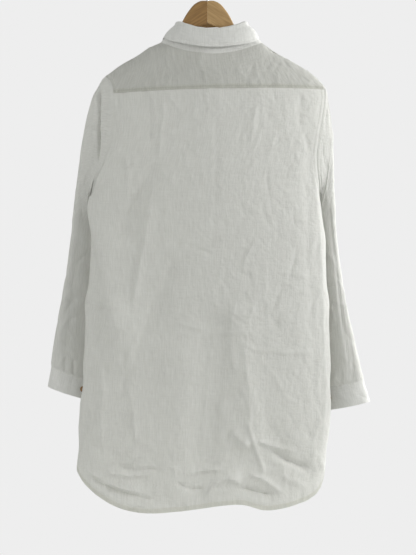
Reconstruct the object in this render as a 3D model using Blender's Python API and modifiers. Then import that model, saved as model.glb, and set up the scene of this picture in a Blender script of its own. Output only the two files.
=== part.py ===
"""A linen shirt dress on a wooden hanger, in metres with +Z up.

The origin is the inside of the hook's top, where a rail carries it. The garment's back faces -Y and
its front faces +Y, so +X is the wearer's right. All tables and named sizes are in millimetres, and
MM turns them into metres where a mesh is made.
"""

import math
from typing import NamedTuple

import bmesh
import bpy
import numpy as np
from mathutils import Matrix, Vector

MM = 0.001

# Cloth walls and seams
CLOTH = 1.2
BAND_CLOTH = 1.8
SEAM_GAP = 0.3
SHEET_GAP = 0.9

# Rows and columns of the walls
SHOULDER_SEGMENTS = 5
NECK_SEGMENTS = 10
YOKE_SEGMENTS = 6
ARMHOLE_SEGMENTS = 6
SIDE_SEGMENTS = 15
MIDDLE_SEGMENTS = 11
HALF_FRONT_SEGMENTS = 3
EDGE_SEGMENTS = 6
EDGE_ZONE = 40.0
EVEN_ZONE = 25.0
NOMINAL_WIDTH = 450.0

# Hanger
HANGER_TILT = math.radians(0.6)
HANGER_HALF_THICKNESS = 6.0
HANGER_SECTION_SIDES = 14
ARM_SWEEP = 28.0
SWEEP_REACH = 200.0
HOOK_WIRE = 4.0
HOOK_INNER_RADIUS = 19.0
HOOK_STEM_TOP = -47.0

# Shoulders and neck
RIDGE_RADIUS = 9.0
RIDGE_SLANT = 0.9
NECK_BACK_DROP = 25.0
NECK_FRONT_DROP = 65.0
NECK_FRONT_ROUNDNESS = 2.0
NECK_FRONT_FLAT = 0.12
YOKE_SEAM_LEFT = -233.0
YOKE_SEAM_RIGHT = -223.0

# Front closing
UNDERLAP = 13.0
BAND_WIDTH = 30.0
BAND_SEGMENTS = 3
FRONT_HEM_RISE = 18.0
FRONT_BUTTONS = 8
BUTTON_TOP = -235.0
BUTTON_PITCH = 84.0
BUTTON_RADIUS = 5.5
BUTTON_THICKNESS = 2.4
BUTTON_SIDES = 18
CUFF_BUTTON_COLUMN = 13


class Level(NamedTuple):
    """Something that changes with height: z and the values at the two sides of the garment."""

    z: float
    left: float
    right: float


class Point(NamedTuple):
    """A point of an outline as seen from the back."""

    x: float
    z: float


class Depth(NamedTuple):
    """How far the cloth stands off the middle at a height, and how round its side edges are."""

    z: float
    back: float
    front: float
    edge_radius: float
    forward: float


class Fold(NamedTuple):
    """A soft ridge, or a trough where height is below 0, along a line seen from the back."""

    x0: float
    z0: float
    x1: float
    z1: float
    width: float
    height: float


class Section(NamedTuple):
    """One ring of a sleeve or cuff: its centre, half sizes, turn about Z and tilt in degrees."""

    z: float
    x: float
    y: float
    long: float
    short: float
    turn: float
    tilt: float


class ArmSection(NamedTuple):
    """One section of a hanger arm: its distance from the middle, its top and its height."""

    out: float
    top: float
    height: float


class LeafEdge(NamedTuple):
    """A point of the collar leaf's free edge, at an angle round the neck from its back middle."""

    turn: float
    x: float
    z: float
    lift: float


SHOULDER_LINE = (
    Point(x=-230, z=-228),
    Point(x=-205, z=-211),
    Point(x=-190.6, z=-199),
    Point(x=-166.5, z=-181.3),
    Point(x=-132.3, z=-162.8),
    Point(x=-100.8, z=-144.3),
    Point(x=-87, z=-138.8),
    Point(x=-45, z=-117),
    Point(x=8, z=-98),
    Point(x=55, z=-115),
    Point(x=101.8, z=-138.8),
    Point(x=123, z=-153.6),
    Point(x=159, z=-172),
    Point(x=191.5, z=-190.6),
    Point(x=204.4, z=-200),
    Point(x=216, z=-213),
    Point(x=232, z=-236),
)
SIDE_EDGE = (
    Level(z=-195, left=-206, right=221),
    Level(z=-240, left=-212, right=226),
    Level(z=-300, left=-215, right=223),
    Level(z=-350, left=-215.5, right=217),
    Level(z=-409, left=-215, right=209),
    Level(z=-442, left=-217.7, right=212.5),
    Level(z=-481, left=-215, right=218.3),
    Level(z=-542, left=-219.2, right=222),
    Level(z=-616, left=-225.7, right=225.5),
    Level(z=-727, left=-230.3, right=229.4),
    Level(z=-801, left=-235, right=229.4),
    Level(z=-875, left=-239.6, right=224.8),
    Level(z=-936, left=-242.4, right=217.5),
    Level(z=-1010, left=-244, right=213),
)
LEFT_SHOULDER = Point(x=-190.6, z=-199)
RIGHT_SHOULDER = Point(x=216, z=-213)
LEFT_UNDERARM = Point(x=-214.6, z=-421.8)
RIGHT_UNDERARM = Point(x=209, z=-408.9)
LEFT_CORNER = Point(x=-242.4, z=-931)
RIGHT_CORNER = Point(x=217.5, z=-937)
LEFT_NECK = Point(x=-87, z=-138.8)
RIGHT_NECK = Point(x=101.8, z=-138.8)
BACK_ARMHOLE_LEFT = (
    LEFT_SHOULDER,
    Point(x=-182, z=-206),
    Point(x=-176.1, z=-217),
    Point(x=-173, z=-232),
    Point(x=-172, z=-260),
    Point(x=-173.9, z=-290),
    Point(x=-179.5, z=-329),
    Point(x=-190.6, z=-363),
    Point(x=-205.9, z=-396),
    LEFT_UNDERARM,
)
BACK_ARMHOLE_RIGHT = (
    RIGHT_SHOULDER,
    Point(x=218.3, z=-236),
    Point(x=214.6, z=-266),
    Point(x=206.5, z=-314),
    Point(x=202.8, z=-348),
    Point(x=204.1, z=-372),
    Point(x=207.6, z=-399),
    RIGHT_UNDERARM,
)
FRONT_ARMHOLE_LEFT = (
    LEFT_SHOULDER,
    Point(x=-189, z=-216),
    Point(x=-184, z=-248),
    Point(x=-178, z=-290),
    Point(x=-177, z=-330),
    Point(x=-183, z=-363),
    Point(x=-197, z=-396),
    LEFT_UNDERARM,
)
FRONT_ARMHOLE_RIGHT = (
    RIGHT_SHOULDER,
    Point(x=208, z=-236),
    Point(x=200, z=-266),
    Point(x=195, z=-300),
    Point(x=192, z=-335),
    Point(x=195, z=-368),
    Point(x=202, z=-393),
    RIGHT_UNDERARM,
)
BACK_HEM = (
    LEFT_CORNER,
    Point(x=-232, z=-948),
    Point(x=-214, z=-965),
    Point(x=-190.5, z=-982),
    Point(x=-163, z=-995),
    Point(x=-128, z=-1003.5),
    Point(x=-90, z=-1004.5),
    Point(x=-53, z=-1001),
    Point(x=-13, z=-996),
    Point(x=30, z=-990),
    Point(x=68, z=-989.5),
    Point(x=105, z=-999.5),
    Point(x=135, z=-997),
    Point(x=166, z=-989),
    Point(x=189, z=-980),
    Point(x=205, z=-967),
    Point(x=213.5, z=-953),
    RIGHT_CORNER,
)
DEPTHS = (
    Depth(z=-100, back=38, front=38, edge_radius=11, forward=1.0),
    Depth(z=-220, back=40, front=40, edge_radius=12, forward=1.0),
    Depth(z=-420, back=43, front=44, edge_radius=13, forward=0.85),
    Depth(z=-700, back=44, front=46, edge_radius=15, forward=0.5),
    Depth(z=-1010, back=38, front=42, edge_radius=15, forward=0.25),
)
FRONT_MIDDLE = (Point(x=7, z=-200), Point(x=4, z=-500), Point(x=-6, z=-1000))
BACK_FOLDS = (
    Fold(x0=-218, z0=-440, x1=-165, z1=-680, width=24, height=5),
    Fold(x0=-140, z0=-400, x1=-120, z1=-620, width=26, height=-4),
    Fold(x0=-75, z0=-560, x1=-110, z1=-760, width=24, height=-4),
    Fold(x0=12, z0=-660, x1=-14, z1=-940, width=26, height=-8),
    Fold(x0=62, z0=-640, x1=80, z1=-860, width=24, height=5),
    Fold(x0=-48, z0=-720, x1=-52, z1=-960, width=30, height=4),
    Fold(x0=120, z0=-860, x1=190, z1=-935, width=20, height=-5),
    Fold(x0=-215, z0=-870, x1=-70, z1=-985, width=16, height=-4),
    Fold(x0=15, z0=-960, x1=50, z1=-940, width=20, height=5),
)
FRONT_FOLDS = (
    Fold(x0=-150, z0=-420, x1=-110, z1=-720, width=26, height=5),
    Fold(x0=-95, z0=-600, x1=-120, z1=-940, width=28, height=-6),
    Fold(x0=150, z0=-420, x1=105, z1=-700, width=26, height=5),
    Fold(x0=85, z0=-640, x1=120, z1=-960, width=28, height=-6),
    Fold(x0=-78, z0=-300, x1=-90, z1=-520, width=20, height=-4),
    Fold(x0=165, z0=-820, x1=190, z1=-950, width=22, height=5),
)
SLEEVE_LEFT = (
    Section(z=-470, x=-213.5, y=79, long=58, short=22, turn=50, tilt=0),
    Section(z=-560, x=-224.5, y=68, long=53, short=22, turn=46, tilt=4),
    Section(z=-660, x=-242, y=58, long=47.5, short=23, turn=40, tilt=8),
    Section(z=-725, x=-249.5, y=53, long=46.5, short=24.5, turn=32, tilt=14),
    Section(z=-755, x=-253.5, y=52, long=44, short=24, turn=27, tilt=20),
)
CUFF_LEFT = (
    Section(z=-755, x=-253.5, y=52, long=43, short=24, turn=27, tilt=20),
    Section(z=-793, x=-258.6, y=50, long=43.5, short=25, turn=24, tilt=20),
)
SLEEVE_RIGHT = (
    Section(z=-462, x=200.5, y=82, long=58, short=22, turn=50, tilt=0),
    Section(z=-560, x=212.6, y=76, long=53, short=22, turn=46, tilt=2),
    Section(z=-670, x=232.5, y=64, long=49, short=23, turn=40, tilt=4),
    Section(z=-745, x=246, y=57, long=46.5, short=24.5, turn=32, tilt=8),
    Section(z=-774, x=254, y=54, long=44, short=24, turn=27, tilt=11),
)
CUFF_RIGHT = (
    Section(z=-774, x=254, y=54, long=43, short=24, turn=27, tilt=11),
    Section(z=-816, x=263.5, y=52, long=44.5, short=25, turn=24, tilt=13),
)
SLEEVE_BACK_SHARE = 0.3
SLEEVE_GAP = 0.4
SLEEVE_LEAD = 1.2
ONWARD_SMOOTHING = 2
UNDERARM_WAY_FRONT = (0.45, 0.7, -0.55)
UNDERARM_WAY_BACK = (0.8, 0.3, -0.5)
SLEEVE_REACH_TOP = 130.0
SLEEVE_HEAD_TUCK = {-1: -50.0, 1: 0.0}
SLEEVE_REACH_UNDERARM = 68.0
SLEEVE_TOP_FALL = 120.0
SLEEVE_FALL_TOP = 230.0
SLEEVE_FALL_UNDERARM = 42.0
BODY_CLEARANCE = 5.0
CLEARANCE_TOP = -330.0
SLEEVE_DROP_SEGMENTS = {-1: 7, 1: 8}
SLEEVE_SECTION_SEGMENTS = 2
HANGER_ARM = (
    ArmSection(out=0.15, top=-62, height=50),
    ArmSection(out=13, top=-62.5, height=49),
    ArmSection(out=20, top=-65.5, height=46),
    ArmSection(out=26, top=-70, height=43),
    ArmSection(out=34, top=-79.6, height=38),
    ArmSection(out=40.3, top=-88.8, height=36),
    ArmSection(out=49, top=-105.5, height=34),
    ArmSection(out=55, top=-119, height=32),
    ArmSection(out=65, top=-136, height=29),
    ArmSection(out=82, top=-148, height=27),
    ArmSection(out=108, top=-153, height=27),
    ArmSection(out=141.5, top=-168.2, height=27),
    ArmSection(out=171, top=-185.5, height=26),
    ArmSection(out=181, top=-193.5, height=23),
    ArmSection(out=186, top=-200, height=17),
    ArmSection(out=188.5, top=-205, height=9),
)
STAND_TOP_LEFT = Point(x=-53.7, z=-103.5)
STAND_TOP_RIGHT = Point(x=70.3, z=-103.5)
STAND_TOP_BACK = -121.0
STAND_TOP_FRONT = -166.0
STAND_TOP_HALF_DEPTH = 26.0
STAND_TOP_FORWARD = 3.0
LEAF_ROLL = (Point(x=-1.9, z=2.4), Point(x=1.2, z=4.1), Point(x=4.8, z=2.6), Point(x=6.6, z=-1.8))
LEAF_EDGE = (
    LeafEdge(turn=-180, x=50, z=-237, lift=9),
    LeafEdge(turn=-160, x=74, z=-205, lift=8),
    LeafEdge(turn=-135, x=92, z=-166, lift=8),
    LeafEdge(turn=-110, x=100, z=-142, lift=8),
    LeafEdge(turn=-90, x=100, z=-130, lift=6),
    LeafEdge(turn=-75, x=94, z=-133, lift=7),
    LeafEdge(turn=-45, x=66, z=-145, lift=9),
    LeafEdge(turn=0, x=1, z=-153, lift=9),
    LeafEdge(turn=45, x=-62, z=-142.5, lift=9),
    LeafEdge(turn=75, x=-83, z=-132, lift=6),
    LeafEdge(turn=90, x=-88, z=-130, lift=5),
    LeafEdge(turn=110, x=-90, z=-141, lift=7),
    LeafEdge(turn=135, x=-82, z=-166, lift=8),
    LeafEdge(turn=160, x=-64, z=-205, lift=8),
    LeafEdge(turn=180, x=-40, z=-238, lift=7),
)
LEAF_SEGMENTS = 3
LEAF_OPENING = 4.0
LEAF_BULGE = 3.0
STAND_SEGMENTS = 2


def through(rows, key, value):
    """Return a smooth curve through one column of a table against another, straight beyond it."""
    pairs = sorted((getattr(row, key), getattr(row, value)) for row in rows)
    knots, heights = np.array(pairs, float).T
    steps = np.diff(knots)
    rises = np.diff(heights) / steps
    slopes = np.concatenate(([rises[0]], rises, [rises[-1]]))
    widths = np.concatenate(([steps[0]], steps, [steps[-1]]))
    slopes = (slopes[:-1] * widths[1:] + slopes[1:] * widths[:-1]) / (widths[:-1] + widths[1:])

    def curve(at):
        at = np.asarray(at, float)
        held = np.clip(at, knots[0], knots[-1])
        i = np.clip(np.searchsorted(knots, held) - 1, 0, len(steps) - 1)
        t = (held - knots[i]) / steps[i]
        rise = (heights[i + 1] - heights[i]) * t * t * (3 - 2 * t)
        leaving = slopes[i] * steps[i] * t * (1 - t) ** 2
        arriving = slopes[i + 1] * steps[i] * t * t * (1 - t)
        beyond = np.where(at < knots[0], slopes[0], slopes[-1]) * (at - held)
        return heights[i] + rise + leaving - arriving + beyond

    return curve


RIDGE_AT = through(SHOULDER_LINE, "x", "z")
EDGE_LEFT_AT = through(SIDE_EDGE, "z", "left")
EDGE_RIGHT_AT = through(SIDE_EDGE, "z", "right")
BACK_DEPTH_AT = through(DEPTHS, "z", "back")
FRONT_DEPTH_AT = through(DEPTHS, "z", "front")
EDGE_RADIUS_AT = through(DEPTHS, "z", "edge_radius")
FORWARD_AT = through(DEPTHS, "z", "forward")
HEM_AT = through(BACK_HEM, "x", "z")
MIDDLE_AT = through(FRONT_MIDDLE, "z", "x")


def sheet_middle(x, z):
    """Return how far forward the sheet half way between back and front lies."""
    return ARM_SWEEP * (x / SWEEP_REACH) ** 2 * np.clip(FORWARD_AT(z), 0, 1)


def stand_off(x, z, most):
    """Return how far the cloth stands off the middle: 0 on the shoulder line and on the side edges."""
    drop = np.maximum(RIDGE_AT(x) - z, 0) * RIDGE_SLANT
    left, right = EDGE_LEFT_AT(z), EDGE_RIGHT_AT(z)
    inset = np.maximum((x - left) * (right - x) / (right - left), 0)
    from_ridge = 2 * RIDGE_RADIUS * drop
    from_edge = 2 * EDGE_RADIUS_AT(z) * inset
    both = from_ridge * from_edge / np.sqrt(from_ridge**2 + from_edge**2 + 1e-9)
    return most * np.tanh(np.sqrt(both) / most)


def fold_height(x, z, folds):
    """Return the summed height of soft folds, each fading out past the ends of its line."""
    total = np.zeros(np.broadcast(x, z).shape)
    for fold in folds:
        along = np.array([fold.x1 - fold.x0, fold.z1 - fold.z0])
        length = np.hypot(*along)
        along = along / length
        run = (x - fold.x0) * along[0] + (z - fold.z0) * along[1]
        across = (x - fold.x0) * along[1] - (z - fold.z0) * along[0]
        past = np.maximum(np.abs(run - length / 2) - length / 2, 0)
        total = total + fold.height * np.exp(-((across / fold.width) ** 2) - (past / fold.width) ** 2)
    return total


def on_back(x, z):
    """Return points of the back's outer face."""
    most = BACK_DEPTH_AT(z)
    off = stand_off(x, z, most)
    lift = fold_height(x, z, BACK_FOLDS) * (off / most) ** 2
    return np.stack(np.broadcast_arrays(x, sheet_middle(x, z) - SHEET_GAP / 2 - off - lift, z), -1)


def on_front(x, z):
    """Return points of the front's outer face."""
    most = FRONT_DEPTH_AT(z)
    off = stand_off(x, z, most)
    lift = fold_height(x, z, FRONT_FOLDS) * (off / most) ** 2
    return np.stack(np.broadcast_arrays(x, sheet_middle(x, z) + SHEET_GAP / 2 + off + lift, z), -1)


def edge_steps():
    """Return distances from a side edge whose steps grow with the square, so its bend is round."""
    return EDGE_ZONE * (np.arange(EDGE_SEGMENTS + 1) / EDGE_SEGMENTS) ** 2


def ridge_drops(height):
    """Return drops below the shoulder line that start alike on every column and end at a height."""
    share = np.arange(YOKE_SEGMENTS + 1)[:, None] / YOKE_SEGMENTS
    least = RIGHT_SHOULDER.z - YOKE_SEAM_RIGHT
    return least * share**1.5 + (height - least) * share**4


def side_levels(shoulder, underarm, corner, top, with_ridge):
    """Return the heights of a panel's rows along one side, down to its hem corner."""
    below = np.linspace(top, underarm.z, ARMHOLE_SEGMENTS + 1)
    side = np.linspace(underarm.z, corner.z, SIDE_SEGMENTS + 1)
    levels = np.concatenate((below, side[1:]))
    if with_ridge:
        levels = np.concatenate((shoulder.z - ridge_drops(shoulder.z - top)[:, 0], levels[1:]))
    return levels


def side_x(levels, armhole, edge_at, underarm):
    """Return where a panel's side lies: on the armhole down to the underarm, then on the edge."""
    return np.where(levels >= underarm.z - 1e-6, through(armhole, "z", "x")(levels), edge_at(levels))


def lerp(a, b, t):
    """Return the value a share t of the way from a to b."""
    return a + (b - a) * t


def back_yoke_points():
    """Return the yoke's rows from the shoulder and neck line down to its seam."""
    neck = np.sin(np.linspace(-math.pi / 2, math.pi / 2, NECK_SEGMENTS + 1)) / 2 + 0.5
    tops = np.concatenate(
        (
            np.linspace(LEFT_SHOULDER.x, LEFT_NECK.x, SHOULDER_SEGMENTS + 1)[:-1],
            lerp(LEFT_NECK.x, RIGHT_NECK.x, neck),
            np.linspace(RIGHT_NECK.x, RIGHT_SHOULDER.x, SHOULDER_SEGMENTS + 1)[1:],
        )
    )
    top_z = np.where((tops > LEFT_NECK.x) & (tops < RIGHT_NECK.x), back_neck_z(tops), RIDGE_AT(tops))
    across = (tops - tops[0]) / (tops[-1] - tops[0])
    height = top_z - lerp(YOKE_SEAM_LEFT, YOKE_SEAM_RIGHT, across)
    share = np.arange(YOKE_SEGMENTS + 1)[:, None] / YOKE_SEGMENTS
    in_neck = np.clip(np.minimum(tops - LEFT_NECK.x, RIGHT_NECK.x - tops) / EVEN_ZONE, 0, 1)
    z = top_z - lerp(ridge_drops(height), height * share, in_neck)
    left = through(BACK_ARMHOLE_LEFT, "z", "x")(z[:, :1])
    right = through(BACK_ARMHOLE_RIGHT, "z", "x")(z[:, -1:])
    return on_back(lerp(left, right, across), z)


def back_neck_z(x):
    """Return the height of the neck seam across the back."""
    share = (x - (LEFT_NECK.x + RIGHT_NECK.x) / 2) / ((RIGHT_NECK.x - LEFT_NECK.x) / 2)
    return LEFT_NECK.z - NECK_BACK_DROP * (1 - share**2)


def front_neck_z(x):
    """Return the height of the neck seam across the front."""
    share = np.abs(x - (LEFT_NECK.x + RIGHT_NECK.x) / 2) / ((RIGHT_NECK.x - LEFT_NECK.x) / 2)
    share = np.clip((share - NECK_FRONT_FLAT) / (1 - NECK_FRONT_FLAT), 0, 1)
    return LEFT_NECK.z - NECK_FRONT_DROP * (1 - share**NECK_FRONT_ROUNDNESS)


def back_panel_points():
    """Return the back's rows from the yoke seam down to the curved hem."""
    left_z = side_levels(LEFT_SHOULDER, LEFT_UNDERARM, LEFT_CORNER, YOKE_SEAM_LEFT - SEAM_GAP, False)
    right_z = side_levels(RIGHT_SHOULDER, RIGHT_UNDERARM, RIGHT_CORNER, YOKE_SEAM_RIGHT - SEAM_GAP, False)
    left_x = side_x(left_z, BACK_ARMHOLE_LEFT, EDGE_LEFT_AT, LEFT_UNDERARM)
    right_x = side_x(right_z, BACK_ARMHOLE_RIGHT, EDGE_RIGHT_AT, RIGHT_UNDERARM)
    edge = edge_steps()
    inner = np.linspace(EDGE_ZONE, NOMINAL_WIDTH - EDGE_ZONE, MIDDLE_SEGMENTS + 1)[1:-1]
    across = np.concatenate((edge, inner, NOMINAL_WIDTH - edge[::-1])) / NOMINAL_WIDTH
    x = lerp(left_x[:, None], right_x[:, None], across)
    straight = lerp(left_z[:, None], right_z[:, None], across)
    down = (left_z[0] - left_z) / (left_z[0] - left_z[-1])
    pull = np.clip((down - 0.55) / 0.45, 0, 1)[:, None] ** 2
    return on_back(x, straight + pull * (HEM_AT(x[-1]) - straight[-1]))


def front_points(side, shoulder, underarm, corner, neck, armhole, edge_at, seam_z):
    """Return a front's rows from the shoulder down, its columns from the side to the middle."""
    levels = side_levels(shoulder, underarm, corner, seam_z, True)
    outer = side_x(levels, armhole, edge_at, underarm)
    last = UNDERLAP if side < 0 else UNDERLAP + SEAM_GAP
    middle = MIDDLE_AT(levels) + last
    to_neck = abs(neck.x - shoulder.x)
    band_edge = abs(MIDDLE_AT(levels[0]) - BAND_WIDTH / 2 - shoulder.x)
    width = abs(middle[0] - shoulder.x)
    curved = (np.arange(1, NECK_SEGMENTS // 2 + 1) / (NECK_SEGMENTS // 2)) ** 1.4
    to_middle = lerp(to_neck, band_edge, curved) if side < 0 else lerp(to_neck, width, curved)
    steps = [edge_steps(), np.linspace(EDGE_ZONE, to_neck, HALF_FRONT_SEGMENTS + 1)[1:], to_middle]
    steps = np.concatenate(steps + [[width]] * (side < 0))
    tops = shoulder.x - side * steps
    top_z = np.where(steps > to_neck + 1e-6, front_neck_z(tops), RIDGE_AT(tops))
    across = steps / width
    bottom_z = front_hem_z(lerp(corner.x, middle[-1], across), across)
    down = ((levels[0] - levels) / (levels[0] - levels[-1]))[:, None]
    below_neck = np.clip((steps - to_neck) / EVEN_ZONE, 0, 1)
    z = lerp(top_z, bottom_z, lerp(down, even_shares(levels)[:, None], below_neck))
    return on_front(lerp(outer[:, None], middle[:, None], across), z)


def even_shares(levels):
    """Return the shares of height of a panel's rows, with those above the underarm spaced evenly."""
    shares = (levels[0] - levels) / (levels[0] - levels[-1])
    count = YOKE_SEGMENTS + ARMHOLE_SEGMENTS
    shares[: count + 1] = shares[count] * np.arange(count + 1) / count
    return shares


def front_hem_z(x, across):
    """Return the front hem's height, which rises from the back's curve towards the middle."""
    return HEM_AT(x) + FRONT_HEM_RISE * np.clip(across * 1.4, 0, 1) ** 2


def band_points():
    """Return the button band's rows on the fronts, moved out by its own thickness."""
    levels = side_levels(RIGHT_SHOULDER, RIGHT_UNDERARM, RIGHT_CORNER, YOKE_SEAM_RIGHT, True)
    down = even_shares(levels)
    levels = levels[0] - down * (levels[0] - levels[-1])
    top_z = front_neck_z(MIDDLE_AT(levels[0]))
    bottom_z = front_hem_z(MIDDLE_AT(levels[-1]), 1.0)
    z = lerp(top_z, bottom_z, down)[:, None]
    x = MIDDLE_AT(levels)[:, None] + np.linspace(-BAND_WIDTH / 2, BAND_WIDTH / 2, BAND_SEGMENTS + 1)
    return moved_out(on_front(x, z), SEAM_GAP + BAND_CLOTH)


def moved_out(points, distance):
    """Return points of a front sheet moved forward along its own normals."""
    down = np.gradient(points, axis=0)
    across = np.gradient(points, axis=1)
    normals = unit(np.cross(across, down))
    return points + normals * distance * np.sign(normals[..., 1:2])


def armhole_loop(yoke, back, front, side):
    """Return a closed loop of points round an armhole, and the way the cloth runs on from each.

    The loop goes down the back edge and up the front's.
    """
    if side > 0:
        yoke, back = yoke[:, ::-1], back[:, ::-1]
    last = ARMHOLE_SEGMENTS + YOKE_SEGMENTS
    parts = (yoke[1:], back[1 : ARMHOLE_SEGMENTS], front[last - 1 : 0 : -1])
    edge = [part[:, 0] for part in parts]
    inner = [part[:, 2] for part in parts]
    top = (yoke[:1, 0] + front[:1, 0]) / 2
    bottom = (back[ARMHOLE_SEGMENTS, :1] + front[last, :1]) / 2
    loop = np.concatenate((top, edge[0], edge[1], bottom, edge[2]))
    inner = np.concatenate(((yoke[:1, 2] + front[:1, 2]) / 2, inner[0], inner[1], bottom, inner[2]))
    tangent = unit(np.roll(loop, -1, 0) - np.roll(loop, 1, 0))
    onward = loop - inner
    onward = unit(onward - tangent * (onward * tangent).sum(-1, keepdims=True) + 1e-9)
    onward[:, 1] = np.clip(onward[:, 1], -0.15, 0.15)
    count = len(loop)
    low = np.abs(np.arange(count) - last) / last
    low = np.clip(1.35 - 2.2 * low, 0, 1)[:, None] ** 0.7
    is_front = (np.arange(count) >= last)[:, None]
    aside = np.where(is_front, UNDERARM_WAY_FRONT, UNDERARM_WAY_BACK) * np.array([side, 1, 1])
    onward = lerp(onward, unit(aside), low)
    for _ in range(ONWARD_SMOOTHING):
        onward = unit(np.roll(onward, 1, 0) + 2 * onward + np.roll(onward, -1, 0))
    return loop, onward


def section_ring(section, side, count, back_count):
    """Return the points of one ring, from its outer point round by the back to the front."""
    share = SLEEVE_BACK_SHARE
    parts = np.concatenate(
        (np.linspace(0, share, back_count + 1)[:-1], np.linspace(share, 1, count - back_count + 1)[:-1])
    )
    turn = math.radians(section.turn)
    angle = 2 * math.pi * parts - turn
    along = section.long * np.cos(angle)
    wide = section.short * np.sin(angle)
    out = along * math.cos(turn) - wide * math.sin(turn)
    back = along * math.sin(turn) + wide * math.cos(turn)
    rise = out * math.tan(math.radians(section.tilt))
    return np.stack((section.x + side * out, section.y - back, section.z + rise), -1)


def sleeve_rows(loop, onward, sections, side, back_count):
    """Return a sleeve's rings from the armhole to the cuff seam."""
    count = len(loop)
    low = (loop[0, 2] - loop[:, 2:]) / (loop[0, 2] - loop[:, 2].min())
    first = loop + onward * SLEEVE_GAP
    led = first + onward * SLEEVE_LEAD
    leave = onward * lerp(SLEEVE_REACH_TOP, SLEEVE_REACH_UNDERARM, low)
    head = np.clip(1 - 2 * low, 0, 1)
    leave -= head * (side * SLEEVE_HEAD_TUCK[side], 0, SLEEVE_TOP_FALL)
    fall = lerp(SLEEVE_FALL_TOP, SLEEVE_FALL_UNDERARM, low)
    lower_rings = section_rows(sections, side, count, back_count)
    ring = lower_rings[0]
    run = lower_rings[1] - ring
    arrive = run / -run[:, 2:] * fall
    rows = [first, led]
    for t in np.linspace(0, 1, SLEEVE_DROP_SEGMENTS[side] + 1)[1:]:
        start = led * (1 + 2 * t) * (1 - t) ** 2 + leave * t * (1 - t) ** 2
        row = start + ring * t * t * (3 - 2 * t) - arrive * t * t * (1 - t)
        rows.append(clear_of_front(row, min(3 * t, 1)))
    return rows + [clear_of_front(row, 1) for row in lower_rings[1:]]


def clear_of_front(points, share):
    """Return points moved forward where they come too near to the front of the body."""
    x, y, z = points[:, 0], points[:, 1], points[:, 2]
    left, right = EDGE_LEFT_AT(z), EDGE_RIGHT_AT(z)
    inside = np.clip(np.minimum(x - left, right - x) / BODY_CLEARANCE + 0.8, 0, 1)
    below = np.clip((CLEARANCE_TOP - z) / 60, 0, 1)
    short = np.maximum(on_front(x, z)[:, 1] + BODY_CLEARANCE - y, 0)
    return np.stack((x, y + short * inside * below * share * (y > sheet_middle(x, z) - 8), z), -1)


def section_rows(sections, side, count, back_count):
    """Return smooth rings between the rows of a table of sections."""
    heights = [row.z for row in sections]
    curves = [through(sections, "z", name) for name in Section._fields]
    rows = []
    for upper, lower in zip(heights[:-1], heights[1:]):
        for z in np.linspace(upper, lower, SLEEVE_SECTION_SEGMENTS + 1)[:-1]:
            rows.append(Section(*(float(curve(z)) for curve in curves)))
    rows.append(sections[-1])
    return [section_ring(row, side, count, back_count) for row in rows]


def material(name, colour, roughness, metallic=0.0):
    """Return a plain material with the piece's own colour."""
    made = bpy.data.materials.new(name)
    made.use_nodes = True
    shader = made.node_tree.nodes["Principled BSDF"]
    shader.inputs["Base Color"].default_value = (*colour, 1.0)
    shader.inputs["Roughness"].default_value = roughness
    shader.inputs["Metallic"].default_value = metallic
    made.diffuse_color = (*colour, 1.0)
    return made


def add_object(name, mesh, collection, finish):
    """Put a mesh into the garment's collection under its node's name."""
    made = bpy.data.objects.new(name, mesh)
    mesh.materials.append(finish)
    collection.objects.link(made)
    return made


def cloth_wall(name, points, collection, finish, inside, cloth=CLOTH, closed=False):
    """Make a wall of cloth whose outer face is a grid of points, thickened towards the inside."""
    if closed:
        points = np.concatenate((points, points[:, :1]), axis=1)
    rows, columns = points.shape[:2]
    shape = bmesh.new()
    bmesh.ops.create_grid(shape, x_segments=columns - 1, y_segments=rows - 1, size=1)
    for vertex in shape.verts:
        column = round((vertex.co.x + 1) / 2 * (columns - 1))
        row = round((vertex.co.y + 1) / 2 * (rows - 1))
        vertex.co = Vector(points[row, column]) * MM
    if closed:
        bmesh.ops.remove_doubles(shape, verts=shape.verts, dist=1e-7)
    centre = Vector(inside) * MM
    shape.normal_update()
    away = [(face.calc_center_median() - centre).dot(face.normal) for face in shape.faces]
    if sum(away) < 0:
        bmesh.ops.reverse_faces(shape, faces=shape.faces)
    mesh = bpy.data.meshes.new(name)
    shape.to_mesh(mesh)
    shape.free()
    mesh.shade_smooth()
    made = add_object(name, mesh, collection, finish)
    wall = made.modifiers.new("wall", "SOLIDIFY")
    wall.thickness = cloth * MM
    wall.offset = -1
    return made


def neck_ring(yoke, left, right):
    """Return the neck seam as one ring of points, from the front middle round by the right."""
    to_neck = EDGE_SEGMENTS + HALF_FRONT_SEGMENTS
    back = yoke[0, SHOULDER_SEGMENTS + 1 : SHOULDER_SEGMENTS + NECK_SEGMENTS]
    right_end = (yoke[0, -SHOULDER_SEGMENTS - 1] + right[0, to_neck]) / 2
    left_end = (yoke[0, SHOULDER_SEGMENTS] + left[0, to_neck]) / 2
    right_half = right[0, -1:to_neck:-1]
    left_half = left[0, to_neck + 1 : -1]
    middle = on_front(MIDDLE_AT(-200.0), front_neck_z(MIDDLE_AT(-200.0)))
    return np.concatenate(([middle], right_half, [right_end], back[::-1], [left_end], left_half))


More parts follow.
